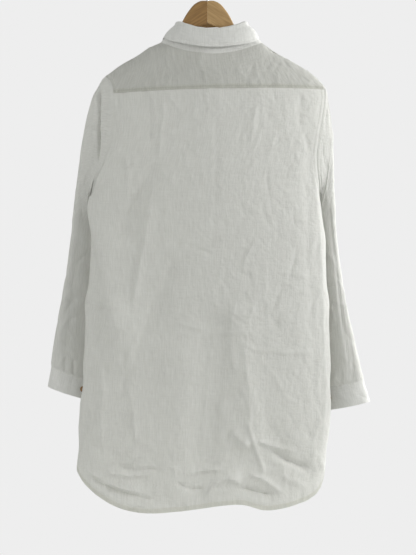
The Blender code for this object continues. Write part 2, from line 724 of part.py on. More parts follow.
def stand_tops(ring):
    """Return the point of the stand's top edge above each point of the neck seam, and its turn."""
    half = (STAND_TOP_RIGHT.x - STAND_TOP_LEFT.x) / 2
    centre = (STAND_TOP_RIGHT.x + STAND_TOP_LEFT.x) / 2
    share = (ring[:, 0] - (LEFT_NECK.x + RIGHT_NECK.x) / 2) / ((RIGHT_NECK.x - LEFT_NECK.x) / 2)
    share = np.clip(share, -1, 1)
    is_front = ring[:, 1] > sheet_middle(ring[:, 0], ring[:, 2])
    turn = np.degrees(np.arcsin(-share))
    turn = np.where(is_front, np.where(share > 0, -180, 180) - turn, turn)
    deep = -np.cos(np.radians(turn)) * STAND_TOP_HALF_DEPTH
    low = np.where(is_front, STAND_TOP_FRONT, STAND_TOP_BACK)
    power = np.where(is_front, 2.4, 2.0)
    top_z = STAND_TOP_LEFT.z + (low - STAND_TOP_LEFT.z) * (1 - np.abs(share) ** power)
    return np.stack((centre + half * share, STAND_TOP_FORWARD + deep, top_z), -1), turn


def stand_points(ring):
    """Return the stand's rows from the neck seam up to the fold, its ends apart on the left front."""
    tops, _ = stand_tops(ring)
    feet = ring + np.array([0, 0, SEAM_GAP])
    feet, tops = (np.concatenate((part[-1:], part)) for part in (feet, tops))
    feet[0, 0] += 2 * SEAM_GAP
    tops[0, 0] += 2 * SEAM_GAP
    return np.stack([lerp(feet, tops, t) for t in np.linspace(0, 1, STAND_SEGMENTS + 1)])


def leaf_points(ring):
    """Return the collar leaf's rows: over the stand's top edge and down to its free edge."""
    tops, turns = stand_tops(ring)
    tops = np.concatenate((tops, tops[:1]))
    turns = np.concatenate(([-180.0], turns[1:], [180.0]))
    tops[0, 0] += LEAF_OPENING / 2
    tops[-1, 0] -= LEAF_OPENING / 2
    turned = np.radians(turns)
    half = (STAND_TOP_RIGHT.x - STAND_TOP_LEFT.x) / 2
    outward = (-np.sin(turned) / half, -np.cos(turned) / STAND_TOP_HALF_DEPTH, 0 * turned)
    outward = unit(np.stack(outward, -1))
    tangent = unit(np.gradient(tops, axis=0))
    across = unit(outward - tangent * (outward * tangent).sum(-1, keepdims=True))
    upward = np.cross(across, tangent)
    upward = upward * np.sign(upward[:, 2:])
    rows = [tops + across * step.x + upward * step.z for step in LEAF_ROLL]
    x, z, lift = (through(LEAF_EDGE, "turn", name)(turns) for name in ("x", "z", "lift"))
    feet = np.concatenate((ring, ring[:1]))
    at_stand = lerp(feet, tops, ((z - feet[:, 2]) / (tops[:, 2] - feet[:, 2]))[:, None])
    at_stand = at_stand + outward * lift[:, None]
    free = np.stack((x, on_front(x, z)[:, 1] + lift, z), -1)
    share = np.clip((np.abs(turns) - 92) / 40, 0, 1)[:, None]
    edge = lerp(at_stand, free, share * share * (3 - 2 * share))
    for t in np.linspace(0, 1, LEAF_SEGMENTS + 1)[1:]:
        rows.append(lerp(rows[len(LEAF_ROLL) - 1], edge, t) + outward * LEAF_BULGE * math.sin(math.pi * t))
    return np.stack(rows)


def unit(vectors):
    """Return vectors scaled to a length of 1."""
    return vectors / np.linalg.norm(vectors, axis=-1, keepdims=True)


def hanger_arm(name, side, collection, finish):
    """Make one arm of the hanger: a round-edged board lofted through its sections."""
    angles = 2 * math.pi * np.arange(HANGER_SECTION_SIDES) / HANGER_SECTION_SIDES
    rings = []
    for row in HANGER_ARM:
        radius = min(HANGER_HALF_THICKNESS, row.height / 2)
        straight = row.height / 2 - radius
        y = ARM_SWEEP * (row.out / SWEEP_REACH) ** 2 + radius * np.sin(angles)
        z = row.top - row.height / 2 + radius * np.cos(angles) + np.sign(np.cos(angles)) * straight
        z = z + side * row.out * math.tan(HANGER_TILT)
        rings.append(np.stack((np.full(len(angles), side * row.out), y, z), -1))
    points = np.stack(rings)
    shape = bmesh.new()
    verts = [[shape.verts.new(Vector(point) * MM) for point in ring] for ring in points]
    for inner, outer in zip(verts[:-1], verts[1:]):
        for i in range(len(inner)):
            j = (i + 1) % len(inner)
            shape.faces.new((inner[i], inner[j], outer[j], outer[i]))
    shape.faces.new(verts[0])
    shape.faces.new(verts[-1])
    bmesh.ops.recalc_face_normals(shape, faces=shape.faces)
    mesh = bpy.data.meshes.new(name)
    shape.to_mesh(mesh)
    shape.free()
    mesh.shade_smooth()
    return add_object(name, mesh, collection, finish)


def hook_route():
    """Return the middle of the hook's wire: its stem, a bend, and the loop over the rail."""
    radius = HOOK_INNER_RADIUS + HOOK_WIRE / 2
    middle = -HOOK_INNER_RADIUS
    foot = HANGER_ARM[0].top + SEAM_GAP
    points = [(0, foot), (0, HOOK_STEM_TOP - 6), (0, HOOK_STEM_TOP)]
    start = math.radians(-38)
    join = np.array([radius * math.cos(start), middle + radius * math.sin(start)])
    first = np.array([0, HOOK_STEM_TOP])
    for t in np.linspace(0, 1, 6)[1:-1]:
        bend = first * (1 + 2 * t) * (1 - t) ** 2 + np.array([0, 22]) * t * (1 - t) ** 2
        bend = bend + join * t * t * (3 - 2 * t) - np.array([10, 20]) * t * t * (1 - t)
        points.append(tuple(bend))
    for angle in np.linspace(start, math.radians(200), 20):
        points.append((radius * math.cos(angle), middle + radius * math.sin(angle)))
    return points


def hanger_hook(collection, finish):
    """Make the hook as a bent wire."""
    points = hook_route()
    curve = bpy.data.curves.new("hanger_hook", "CURVE")
    curve.dimensions = "3D"
    curve.bevel_depth = HOOK_WIRE / 2 * MM
    curve.bevel_resolution = 2
    curve.use_fill_caps = True
    spline = curve.splines.new("POLY")
    spline.points.add(len(points) - 1)
    for point, (x, z) in zip(spline.points, points):
        point.co = (x * MM, 0, z * MM, 1)
    return add_object("hanger_hook", curve, collection, finish)


def button(name, seat, normal, collection, finish):
    """Make a flat round button that lies on a seat point, its back a seam gap off the cloth."""
    shape = bmesh.new()
    bmesh.ops.create_cone(
        shape,
        cap_ends=True,
        segments=BUTTON_SIDES,
        radius1=BUTTON_RADIUS * MM,
        radius2=BUTTON_RADIUS * MM,
        depth=BUTTON_THICKNESS * MM,
    )
    mesh = bpy.data.meshes.new(name)
    shape.to_mesh(mesh)
    shape.free()
    made = add_object(name, mesh, collection, finish)
    facing = Vector(normal).normalized()
    centre = Vector(seat) + facing * (SEAM_GAP + BUTTON_THICKNESS / 2)
    made.matrix_world = Matrix.Translation(centre * MM) @ facing.to_track_quat("Z", "Y").to_matrix().to_4x4()
    return made


def build_body(collection, linen):
    """Make the yoke, back and fronts, and return their grids of outer points."""
    inside = (0, 0, -600)
    panels = {
        "back_yoke": back_yoke_points(),
        "back_panel": back_panel_points(),
        "front_left": front_points(
            -1,
            LEFT_SHOULDER,
            LEFT_UNDERARM,
            LEFT_CORNER,
            LEFT_NECK,
            FRONT_ARMHOLE_LEFT,
            EDGE_LEFT_AT,
            YOKE_SEAM_LEFT,
        ),
        "front_right": front_points(
            1,
            RIGHT_SHOULDER,
            RIGHT_UNDERARM,
            RIGHT_CORNER,
            RIGHT_NECK,
            FRONT_ARMHOLE_RIGHT,
            EDGE_RIGHT_AT,
            YOKE_SEAM_RIGHT,
        ),
    }
    for name, points in panels.items():
        cloth_wall(name, points, collection, linen, inside)
    cloth_wall("button_band", band_points(), collection, linen, inside, BAND_CLOTH)
    return panels


def build_collar(panels, collection, linen):
    """Make the collar stand and the leaf that folds over it."""
    ring = neck_ring(panels["back_yoke"], panels["front_left"], panels["front_right"])
    stand = stand_points(ring)
    cloth_wall("collar_stand", stand, collection, linen, stand.reshape(-1, 3).mean(axis=0), BAND_CLOTH)
    cloth_wall("collar_leaf", leaf_points(ring), collection, linen, (8, 3, -160), BAND_CLOTH)
    return stand


def build_sleeve(name, armhole, sections, cuff, side, collection, linen):
    """Make a sleeve and its cuff, and return the cuff's rings."""
    back_count = YOKE_SEGMENTS + ARMHOLE_SEGMENTS
    loop, onward = armhole
    rows = np.stack(sleeve_rows(loop, onward, sections, side, back_count))
    cloth_wall(f"sleeve_{name}", rows, collection, linen, rows.reshape(-1, 3).mean(axis=0), closed=True)
    cuff_rows = np.stack(section_rows(cuff, side, len(loop), back_count))
    cuff_rows[:, :, 2] -= SEAM_GAP
    middle = cuff_rows.reshape(-1, 3).mean(axis=0)
    cloth_wall(f"cuff_{name}", cuff_rows, collection, linen, middle, BAND_CLOTH, closed=True)
    return cuff_rows


def build_buttons(stand, cuffs, collection, horn):
    """Make the front's buttons down the band, the one on the stand and one on each cuff."""
    for i in range(FRONT_BUTTONS):
        z = BUTTON_TOP - i * BUTTON_PITCH
        x = float(MIDDLE_AT(z))
        seat = on_front(x, z) + np.array([0, SEAM_GAP + BAND_CLOTH, 0])
        button(f"button_front_{i + 1}", seat, (0, 1, 0), collection, horn)
    button("button_stand", stand[1, 1], (0, 1, 0), collection, horn)
    for name, rows in cuffs.items():
        middle = rows[SLEEVE_SECTION_SEGMENTS // 2]
        start, end = middle[CUFF_BUTTON_COLUMN], middle[CUFF_BUTTON_COLUMN + 1]
        down = rows[-1, CUFF_BUTTON_COLUMN] - rows[0, CUFF_BUTTON_COLUMN]
        facing = unit(np.cross(end - start, down))
        seat = (start + end) / 2
        facing = facing * np.sign(((seat - middle.mean(axis=0)) * facing).sum())
        button(f"button_cuff_{name}", seat, facing, collection, horn)


def build_hanger(collection, wood, steel):
    """Make the hanger's arms and hook."""
    hanger_arm("hanger_arm_left", -1, collection, wood)
    hanger_arm("hanger_arm_right", 1, collection, wood)
    hanger_hook(collection, steel)


def main():
    """Build the garment and its hanger."""
    for old in list(bpy.data.objects):
        bpy.data.objects.remove(old)
    collection = bpy.data.collections.new("linen_shirt_dress")
    bpy.context.scene.collection.children.link(collection)
    linen = material("linen", (0.66, 0.67, 0.63), 0.9)
    horn = material("horn", (0.12, 0.07, 0.04), 0.35)
    wood = material("lacquered_wood", (0.23, 0.13, 0.06), 0.4)
    steel = material("steel", (0.55, 0.56, 0.58), 0.25, 1.0)
    panels = build_body(collection, linen)
    stand = build_collar(panels, collection, linen)
    yoke, back = panels["back_yoke"], panels["back_panel"]
    left_loop = armhole_loop(yoke, back, panels["front_left"], -1)
    right_loop = armhole_loop(yoke, back, panels["front_right"], 1)
    cuffs = {
        "left": build_sleeve("left", left_loop, SLEEVE_LEFT, CUFF_LEFT, -1, collection, linen),
        "right": build_sleeve("right", right_loop, SLEEVE_RIGHT, CUFF_RIGHT, 1, collection, linen),
    }
    build_buttons(stand, cuffs, collection, horn)
    build_hanger(collection, wood, steel)
    bpy.context.view_layer.update()


main()
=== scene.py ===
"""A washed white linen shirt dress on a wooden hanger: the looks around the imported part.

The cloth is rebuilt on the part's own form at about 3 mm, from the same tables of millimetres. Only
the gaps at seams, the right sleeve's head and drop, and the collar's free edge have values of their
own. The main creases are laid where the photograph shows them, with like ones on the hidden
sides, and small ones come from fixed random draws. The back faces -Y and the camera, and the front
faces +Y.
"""

import logging
import math
from dataclasses import dataclass, field
from enum import Enum
from typing import Callable, NamedTuple, Sequence

import bmesh
import bpy
import numpy as np
from bmesh.types import BMEdge, BMesh, BMVert
from bpy.types import Material, Node, NodeSocket, NodeTree, Object
from mathutils import Matrix, Vector


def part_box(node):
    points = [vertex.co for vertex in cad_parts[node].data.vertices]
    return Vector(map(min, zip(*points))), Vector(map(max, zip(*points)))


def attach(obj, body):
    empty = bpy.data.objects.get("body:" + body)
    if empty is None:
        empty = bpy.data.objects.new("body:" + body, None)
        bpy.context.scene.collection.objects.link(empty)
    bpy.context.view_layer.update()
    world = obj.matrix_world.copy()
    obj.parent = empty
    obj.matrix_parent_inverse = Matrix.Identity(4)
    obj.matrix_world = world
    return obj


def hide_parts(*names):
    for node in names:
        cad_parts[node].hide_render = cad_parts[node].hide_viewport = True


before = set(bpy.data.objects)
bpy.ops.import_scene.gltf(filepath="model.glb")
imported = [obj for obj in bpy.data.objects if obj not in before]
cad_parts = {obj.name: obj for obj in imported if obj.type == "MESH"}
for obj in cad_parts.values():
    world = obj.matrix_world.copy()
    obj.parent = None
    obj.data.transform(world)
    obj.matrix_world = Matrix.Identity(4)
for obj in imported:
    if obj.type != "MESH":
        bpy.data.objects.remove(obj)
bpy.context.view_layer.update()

LOG = logging.getLogger("linen_shirt_dress")

Array = np.ndarray
MM = 0.001
BODY = "root"
SHARP_ANGLE = math.radians(52)

# Cloth walls and seams
BAND_CLOTH = 1.8
SEAM_GAP = 0.05
SHEET_GAP = 0.1
EDGE_ZONE = 40.0
EVEN_ZONE = 25.0
NOMINAL_WIDTH = 450.0

# Hanger
HANGER_TILT = math.radians(0.6)
HANGER_HALF_THICKNESS = 6.0
FACET_TOP = -102.5
FACET_SLOPE = 0.45
FACET_BEVEL = 0.55
ARM_SWEEP = 28.0
SWEEP_REACH = 200.0
HOOK_WIRE = 4.0
HOOK_INNER_RADIUS = 19.0
HOOK_STEM_TOP = -47.0

# Shoulders and neck
RIDGE_RADIUS = 9.0
RIDGE_SLANT = 0.9
NECK_BACK_DROP = 25.0
NECK_FRONT_DROP = 65.0
NECK_FRONT_ROUNDNESS = 2.0
NECK_FRONT_FLAT = 0.12
YOKE_SEAM_LEFT = -233.0
YOKE_SEAM_RIGHT = -223.0

# Front closing
UNDERLAP = 13.0
BAND_WIDTH = 30.0
BAND_SEGMENTS = 3
FRONT_HEM_RISE = 18.0
FRONT_BUTTONS = 8
BUTTON_TOP = -235.0
BUTTON_PITCH = 84.0
BUTTON_RADIUS = 5.5
BUTTON_THICKNESS = 2.4
CUFF_BUTTON_COLUMN = 13


class Level(NamedTuple):
    """Something that changes with height: z and the values at the two sides of the garment."""

    z: float
    left: float
    right: float


class Point(NamedTuple):
    """A point of an outline as seen from the back."""

    x: float
    z: float


class Depth(NamedTuple):
    """How far the cloth stands off the middle at a height, and how round its side edges are."""

    z: float
    back: float
    front: float
    edge_radius: float
    forward: float


class Fold(NamedTuple):
    """A soft ridge, or a trough where height is below 0, along a line seen from the back."""

    x0: float
    z0: float
    x1: float
    z1: float
    width: float
    height: float


class Section(NamedTuple):
    """One ring of a sleeve or cuff: its centre, half sizes, turn about Z and tilt in degrees."""

    z: float
    x: float
    y: float
    long: float
    short: float
    turn: float
    tilt: float


class ArmSection(NamedTuple):
    """One section of a hanger arm: its distance from the middle, its top and its height."""

    out: float
    top: float
    height: float


class LeafEdge(NamedTuple):
    """A point of the collar leaf's free edge, at an angle round the neck from its back middle."""

    turn: float
    x: float
    z: float
    lift: float


class Crease(NamedTuple):
    """A listed crease: its half width, its height, its lean and its line as x, z pairs.

    A trough has a height below 0. Lean from -1 to 1 makes one flank steeper than the other.
    """

    width: float
    height: float
    lean: float
    line: tuple[tuple[float, float], ...]


def table(kind: Callable[..., NamedTuple], *rows: Sequence) -> tuple:
    """Return rows of values as named tuples, the values in the order of the tuple's fields."""
    return tuple(kind(*row) for row in rows)


SHOULDER_LINE = table(
    Point,
    (-230, -228), (-205, -211), (-190.6, -199), (-166.5, -181.3), (-132.3, -162.8),
    (-100.8, -144.3), (-87, -138.8), (-45, -117), (8, -98), (55, -115), (101.8, -138.8),
    (123, -153.6), (159, -172), (191.5, -190.6), (204.4, -200), (216, -213), (232, -236),
)
SIDE_EDGE = table(
    Level,
    (-195, -206, 221), (-240, -212, 226), (-300, -215, 223), (-350, -215.5, 217), (-409, -215, 209),
    (-442, -217.7, 212.5), (-481, -215, 218.3), (-542, -219.2, 222), (-616, -225.7, 225.5),
    (-727, -230.3, 229.4), (-801, -235, 229.4), (-875, -239.6, 224.8), (-936, -242.4, 217.5),
    (-1010, -244, 213),
)
LEFT_SHOULDER = Point(x=-190.6, z=-199)
RIGHT_SHOULDER = Point(x=216, z=-213)
LEFT_UNDERARM = Point(x=-214.6, z=-421.8)
RIGHT_UNDERARM = Point(x=209, z=-408.9)
LEFT_CORNER = Point(x=-242.4, z=-931)
RIGHT_CORNER = Point(x=217.5, z=-937)
LEFT_NECK = Point(x=-87, z=-138.8)
RIGHT_NECK = Point(x=101.8, z=-138.8)
BACK_ARMHOLE_LEFT = table(
    Point,
    LEFT_SHOULDER, (-182, -206), (-176.1, -217), (-173, -232), (-172, -260), (-173.9, -290),
    (-179.5, -329), (-190.6, -363), (-205.9, -396), LEFT_UNDERARM,
)
BACK_ARMHOLE_RIGHT = table(
    Point,
    RIGHT_SHOULDER, (218.3, -236), (214.6, -266), (206.5, -314), (202.8, -348), (204.1, -372),
    (207.6, -399), RIGHT_UNDERARM,
)
FRONT_ARMHOLE_LEFT = table(
    Point,
    LEFT_SHOULDER, (-189, -216), (-184, -248), (-178, -290), (-177, -330), (-183, -363),
    (-197, -396), LEFT_UNDERARM,
)
FRONT_ARMHOLE_RIGHT = table(
    Point,
    RIGHT_SHOULDER, (208, -236), (200, -266), (195, -300), (192, -335), (195, -368), (202, -393),
    RIGHT_UNDERARM,
)
BACK_HEM = table(
    Point,
    LEFT_CORNER, (-232, -948), (-214, -965), (-190.5, -982), (-163, -995), (-128, -1003.5),
    (-90, -1004.5), (-53, -1001), (-13, -996), (30, -990), (68, -989.5), (105, -999.5), (135, -997),
    (166, -989), (189, -980), (205, -967), (213.5, -953), RIGHT_CORNER,
)
DEPTHS = table(
    Depth,
    (-100, 38, 38, 11, 1.0),
    (-220, 40, 40, 12, 1.0),
    (-420, 43, 44, 13, 0.85),
    (-700, 44, 46, 15, 0.5),
    (-1010, 38, 42, 15, 0.25),
)
FRONT_MIDDLE = table(
    Point,
    (7, -200), (4, -500), (-6, -1000),
)
BACK_FOLDS = table(
    Fold,
    (-218, -440, -165, -680, 24, 5),
    (-140, -400, -120, -620, 26, -4),
    (-75, -560, -110, -760, 24, -4),
    (12, -660, -14, -940, 26, -8),
    (62, -640, 80, -860, 24, 5),
    (-48, -720, -52, -960, 30, 4),
    (120, -860, 190, -935, 20, -5),
    (-215, -870, -70, -985, 16, -4),
    (15, -960, 50, -940, 20, 5),
)
FRONT_FOLDS = table(
    Fold,
    (-150, -420, -110, -720, 26, 5),
    (-95, -600, -120, -940, 28, -6),
    (150, -420, 105, -700, 26, 5),
    (85, -640, 120, -960, 28, -6),
    (-78, -300, -90, -520, 20, -4),
    (165, -820, 190, -950, 22, 5),
)
SLEEVE_LEFT = table(
    Section,
    (-470, -213.5, 79, 58, 22, 50, 0),
    (-560, -224.5, 68, 53, 22, 46, 4),
    (-660, -242, 58, 47.5, 23, 40, 8),
    (-725, -249.5, 53, 46.5, 24.5, 32, 14),
    (-755, -253.5, 52, 44, 24, 27, 20),
)
CUFF_LEFT = table(
    Section,
    (-755, -253.5, 52, 43, 24, 27, 20),
    (-793, -258.6, 50, 43.5, 25, 24, 20),
)
SLEEVE_RIGHT = table(
    Section,
    (-462, 200.5, 82, 58, 22, 50, 0),
    (-560, 212.6, 76, 53, 22, 46, 2),
    (-670, 232.5, 64, 49, 23, 40, 4),
    (-745, 246, 57, 46.5, 24.5, 32, 8),
    (-774, 254, 54, 44, 24, 27, 11),
)
CUFF_RIGHT = table(
    Section,
    (-774, 254, 54, 43, 24, 27, 11),
    (-816, 263.5, 52, 44.5, 25, 24, 13),
)
SLEEVE_BACK_SHARE = 0.3
SLEEVE_GAP = 0.05
SLEEVE_LEAD = 1.2
ONWARD_SMOOTHING = 2
UNDERARM_WAY_FRONT = (0.45, 0.7, -0.55)
UNDERARM_WAY_BACK = (0.8, 0.3, -0.5)
SLEEVE_REACH_TOP = 130.0
SLEEVE_HEAD_TUCK = {-1: -50.0, 1: 45.0}
SLEEVE_REACH_UNDERARM = 68.0
SLEEVE_TOP_FALL = 120.0
SLEEVE_FALL_TOP = 230.0
SLEEVE_FALL_UNDERARM = 42.0
BODY_CLEARANCE = 5.0
CLEARANCE_TOP = -330.0
CLEARANCE_FADE = 60.0
SHEET_MARGIN = 8.0
ONWARD_MOST_Y = 0.15
UNDERARM_START = 1.35
UNDERARM_FALL = 2.2
UNDERARM_POWER = 0.7
SLEEVE_DROP_SEGMENTS = 7
SLEEVE_SECTION_SEGMENTS = 2
HANGER_ARM = table(
    ArmSection,
    (0.15, -62, 50), (13, -62.5, 49), (20, -65.5, 46), (26, -70, 43), (34, -79.6, 38),
    (40.3, -88.8, 36), (49, -105.5, 34), (55, -119, 32), (65, -136, 29), (82, -148, 27),
    (108, -153, 27), (141.5, -168.2, 27), (171, -185.5, 26), (181, -193.5, 23), (186, -200, 17),
    (188.5, -205, 9),
)
STAND_TOP_LEFT = Point(x=-53.7, z=-103.5)
STAND_TOP_RIGHT = Point(x=70.3, z=-103.5)
STAND_TOP_BACK = -121.0
STAND_TOP_FRONT = -166.0
STAND_TOP_HALF_DEPTH = 26.0
STAND_TOP_FORWARD = 3.0
LEAF_ROLL = table(
    Point,
    (-1.9, 2.4), (1.2, 4.1), (4.8, 2.6), (6.6, -1.8),
)
LEAF_EDGE = table(
    LeafEdge,
    (-180, 50, -237, 9),
    (-160, 74, -205, 8),
    (-135, 92, -166, 8),
    (-110, 100, -142, 8),
    (-90, 100, -130, 3),
    (-75, 94, -133, 4),
    (-45, 66, -145, 9),
    (0, 1, -153, 9),
    (45, -62, -142.5, 9),
    (75, -83, -132, 3.4),
    (90, -88, -130, 2.8),
    (110, -90, -141, 7),
    (135, -82, -166, 8),
    (160, -64, -205, 8),
    (180, -40, -238, 7),
)
LEAF_SEGMENTS = 3
LEAF_OPENING = 4.0
LEAF_BULGE = 3.0
LEAF_FREE_FROM = 92.0
LEAF_FREE_SPREAD = 40.0
STAND_SEGMENTS = 2


class Grain(NamedTuple):
    """How many steps the form is divided into, from the coarse solid to the fine cloth."""

    shoulder: int
    neck: int
    yoke: int
    armhole: int
    side: int
    middle: int
    half_front: int
    edge: int
    underlap: int
    far_power: float


SOLID_GRAIN = Grain(5, 10, 6, 6, 15, 11, 3, 6, 1, 4.0)
CLOTH_GRAIN = Grain(40, 68, 40, 64, 172, 124, 24, 18, 10, 2.0)


def unit(vectors: Array) -> Array:
    """Return vectors scaled to a length of 1."""
    return vectors / np.linalg.norm(vectors, axis=-1, keepdims=True)


def lerp(a: Array, b: Array, t: Array) -> Array:
    """Return the value a share t of the way from a to b."""
    return a + (b - a) * t


def eased(t: Array) -> Array:
    """Return a share from 0 to 1 that starts and ends gently."""
    t = np.clip(t, 0, 1)
    return t * t * (3 - 2 * t)


def smooth_curve(knots: Array, values: Array) -> Callable[[Array], Array]:
    """Return a smooth curve through values at rising knots, straight beyond its ends.

    Args:
        knots: Rising numbers, one for each value.
        values: Numbers, or arrays of numbers, one for each knot.

    Returns:
        A function that gives the value at any number or array of numbers.
    """
    steps = np.diff(knots)
    shape = (-1,) + (1,) * (values.ndim - 1)
    rises = np.diff(values, axis=0) / steps.reshape(shape)
    slopes = np.concatenate((rises[:1], rises, rises[-1:]))
    widths = np.concatenate((steps[:1], steps, steps[-1:])).reshape(shape)
    slopes = (slopes[:-1] * widths[1:] + slopes[1:] * widths[:-1]) / (widths[:-1] + widths[1:])

    def curve(at: Array) -> Array:
        """Return the curve's value at a number or at each number of an array."""
        at = np.asarray(at, float)
        held = np.clip(at, knots[0], knots[-1])
        i = np.clip(np.searchsorted(knots, held) - 1, 0, len(steps) - 1)
        grown = held.shape + (1,) * (values.ndim - 1)
        step = steps[i].reshape(grown)
        t = ((held - knots[i]) / steps[i]).reshape(grown)
        rise = (values[i + 1] - values[i]) * t * t * (3 - 2 * t)
        leaving = slopes[i] * step * t * (1 - t) ** 2
        arriving = slopes[i + 1] * step * t * t * (1 - t)
        past = (at - held).reshape(grown)
        beyond = np.where((at < knots[0]).reshape(grown), slopes[0], slopes[-1]) * past
        return values[i] + rise + leaving - arriving + beyond

    return curve


def through(rows: Sequence[NamedTuple], key: str, value: str) -> Callable[[Array], Array]:
    """Return a smooth curve through one column of a table against another.

    Args:
        rows: The table.
        key: The column that the curve is read by.
        value: The column that it gives.

    Returns:
        A function of the key.
    """
    pairs = sorted((getattr(row, key), getattr(row, value)) for row in rows)
    knots, heights = np.array(pairs, float).T
    return smooth_curve(knots, heights)


RIDGE_AT = through(SHOULDER_LINE, "x", "z")
EDGE_LEFT_AT = through(SIDE_EDGE, "z", "left")
EDGE_RIGHT_AT = through(SIDE_EDGE, "z", "right")
BACK_DEPTH_AT = through(DEPTHS, "z", "back")
FRONT_DEPTH_AT = through(DEPTHS, "z", "front")
EDGE_RADIUS_AT = through(DEPTHS, "z", "edge_radius")
FORWARD_AT = through(DEPTHS, "z", "forward")
HEM_AT = through(BACK_HEM, "x", "z")
MIDDLE_AT = through(FRONT_MIDDLE, "z", "x")
BACK_ARMHOLE_LEFT_AT = through(BACK_ARMHOLE_LEFT, "z", "x")
BACK_ARMHOLE_RIGHT_AT = through(BACK_ARMHOLE_RIGHT, "z", "x")


def far_along(points: Array) -> Array:
    """Return how far each point lies from the first one of its column, along the column."""
    steps = np.linalg.norm(np.diff(points, axis=0), axis=-1)
    return np.concatenate((np.zeros((1, *steps.shape[1:])), np.cumsum(steps, axis=0)))


def refined(points: Array, row_step: float, column_step: float, closed: bool = False) -> Array:
    """Return a coarse grid of points drawn again with finer steps, on smooth curves through it.

    Args:
        points: Rows of points, in millimetres.
        row_step: About how far apart the new rows are.
        column_step: About how far apart the points of a row are.
        closed: Whether the last point of a row joins the first.

    Returns:
        The finer grid, without a repeated last column where it is closed.
    """
    down = np.linalg.norm(np.diff(points, axis=0), axis=-1).mean(axis=1)
    knots = np.concatenate(([0], np.cumsum(down)))
    count = max(2, round(knots[-1] / row_step))
    points = smooth_curve(knots, points)(np.linspace(0, knots[-1], count + 1))
    if closed:
        points = np.concatenate((points[:, -2:], points, points[:, :3]), axis=1)
    across = np.linalg.norm(np.diff(points, axis=1), axis=-1).mean(axis=0)
    knots = np.concatenate(([0], np.cumsum(across)))
    start, end = (knots[2], knots[-3]) if closed else (knots[0], knots[-1])
    count = max(2, round((end - start) / column_step))
    at = np.linspace(start, end, count + 1)
    if closed:
        at = at[:-1]
    return smooth_curve(knots, points.swapaxes(0, 1))(at).swapaxes(0, 1)


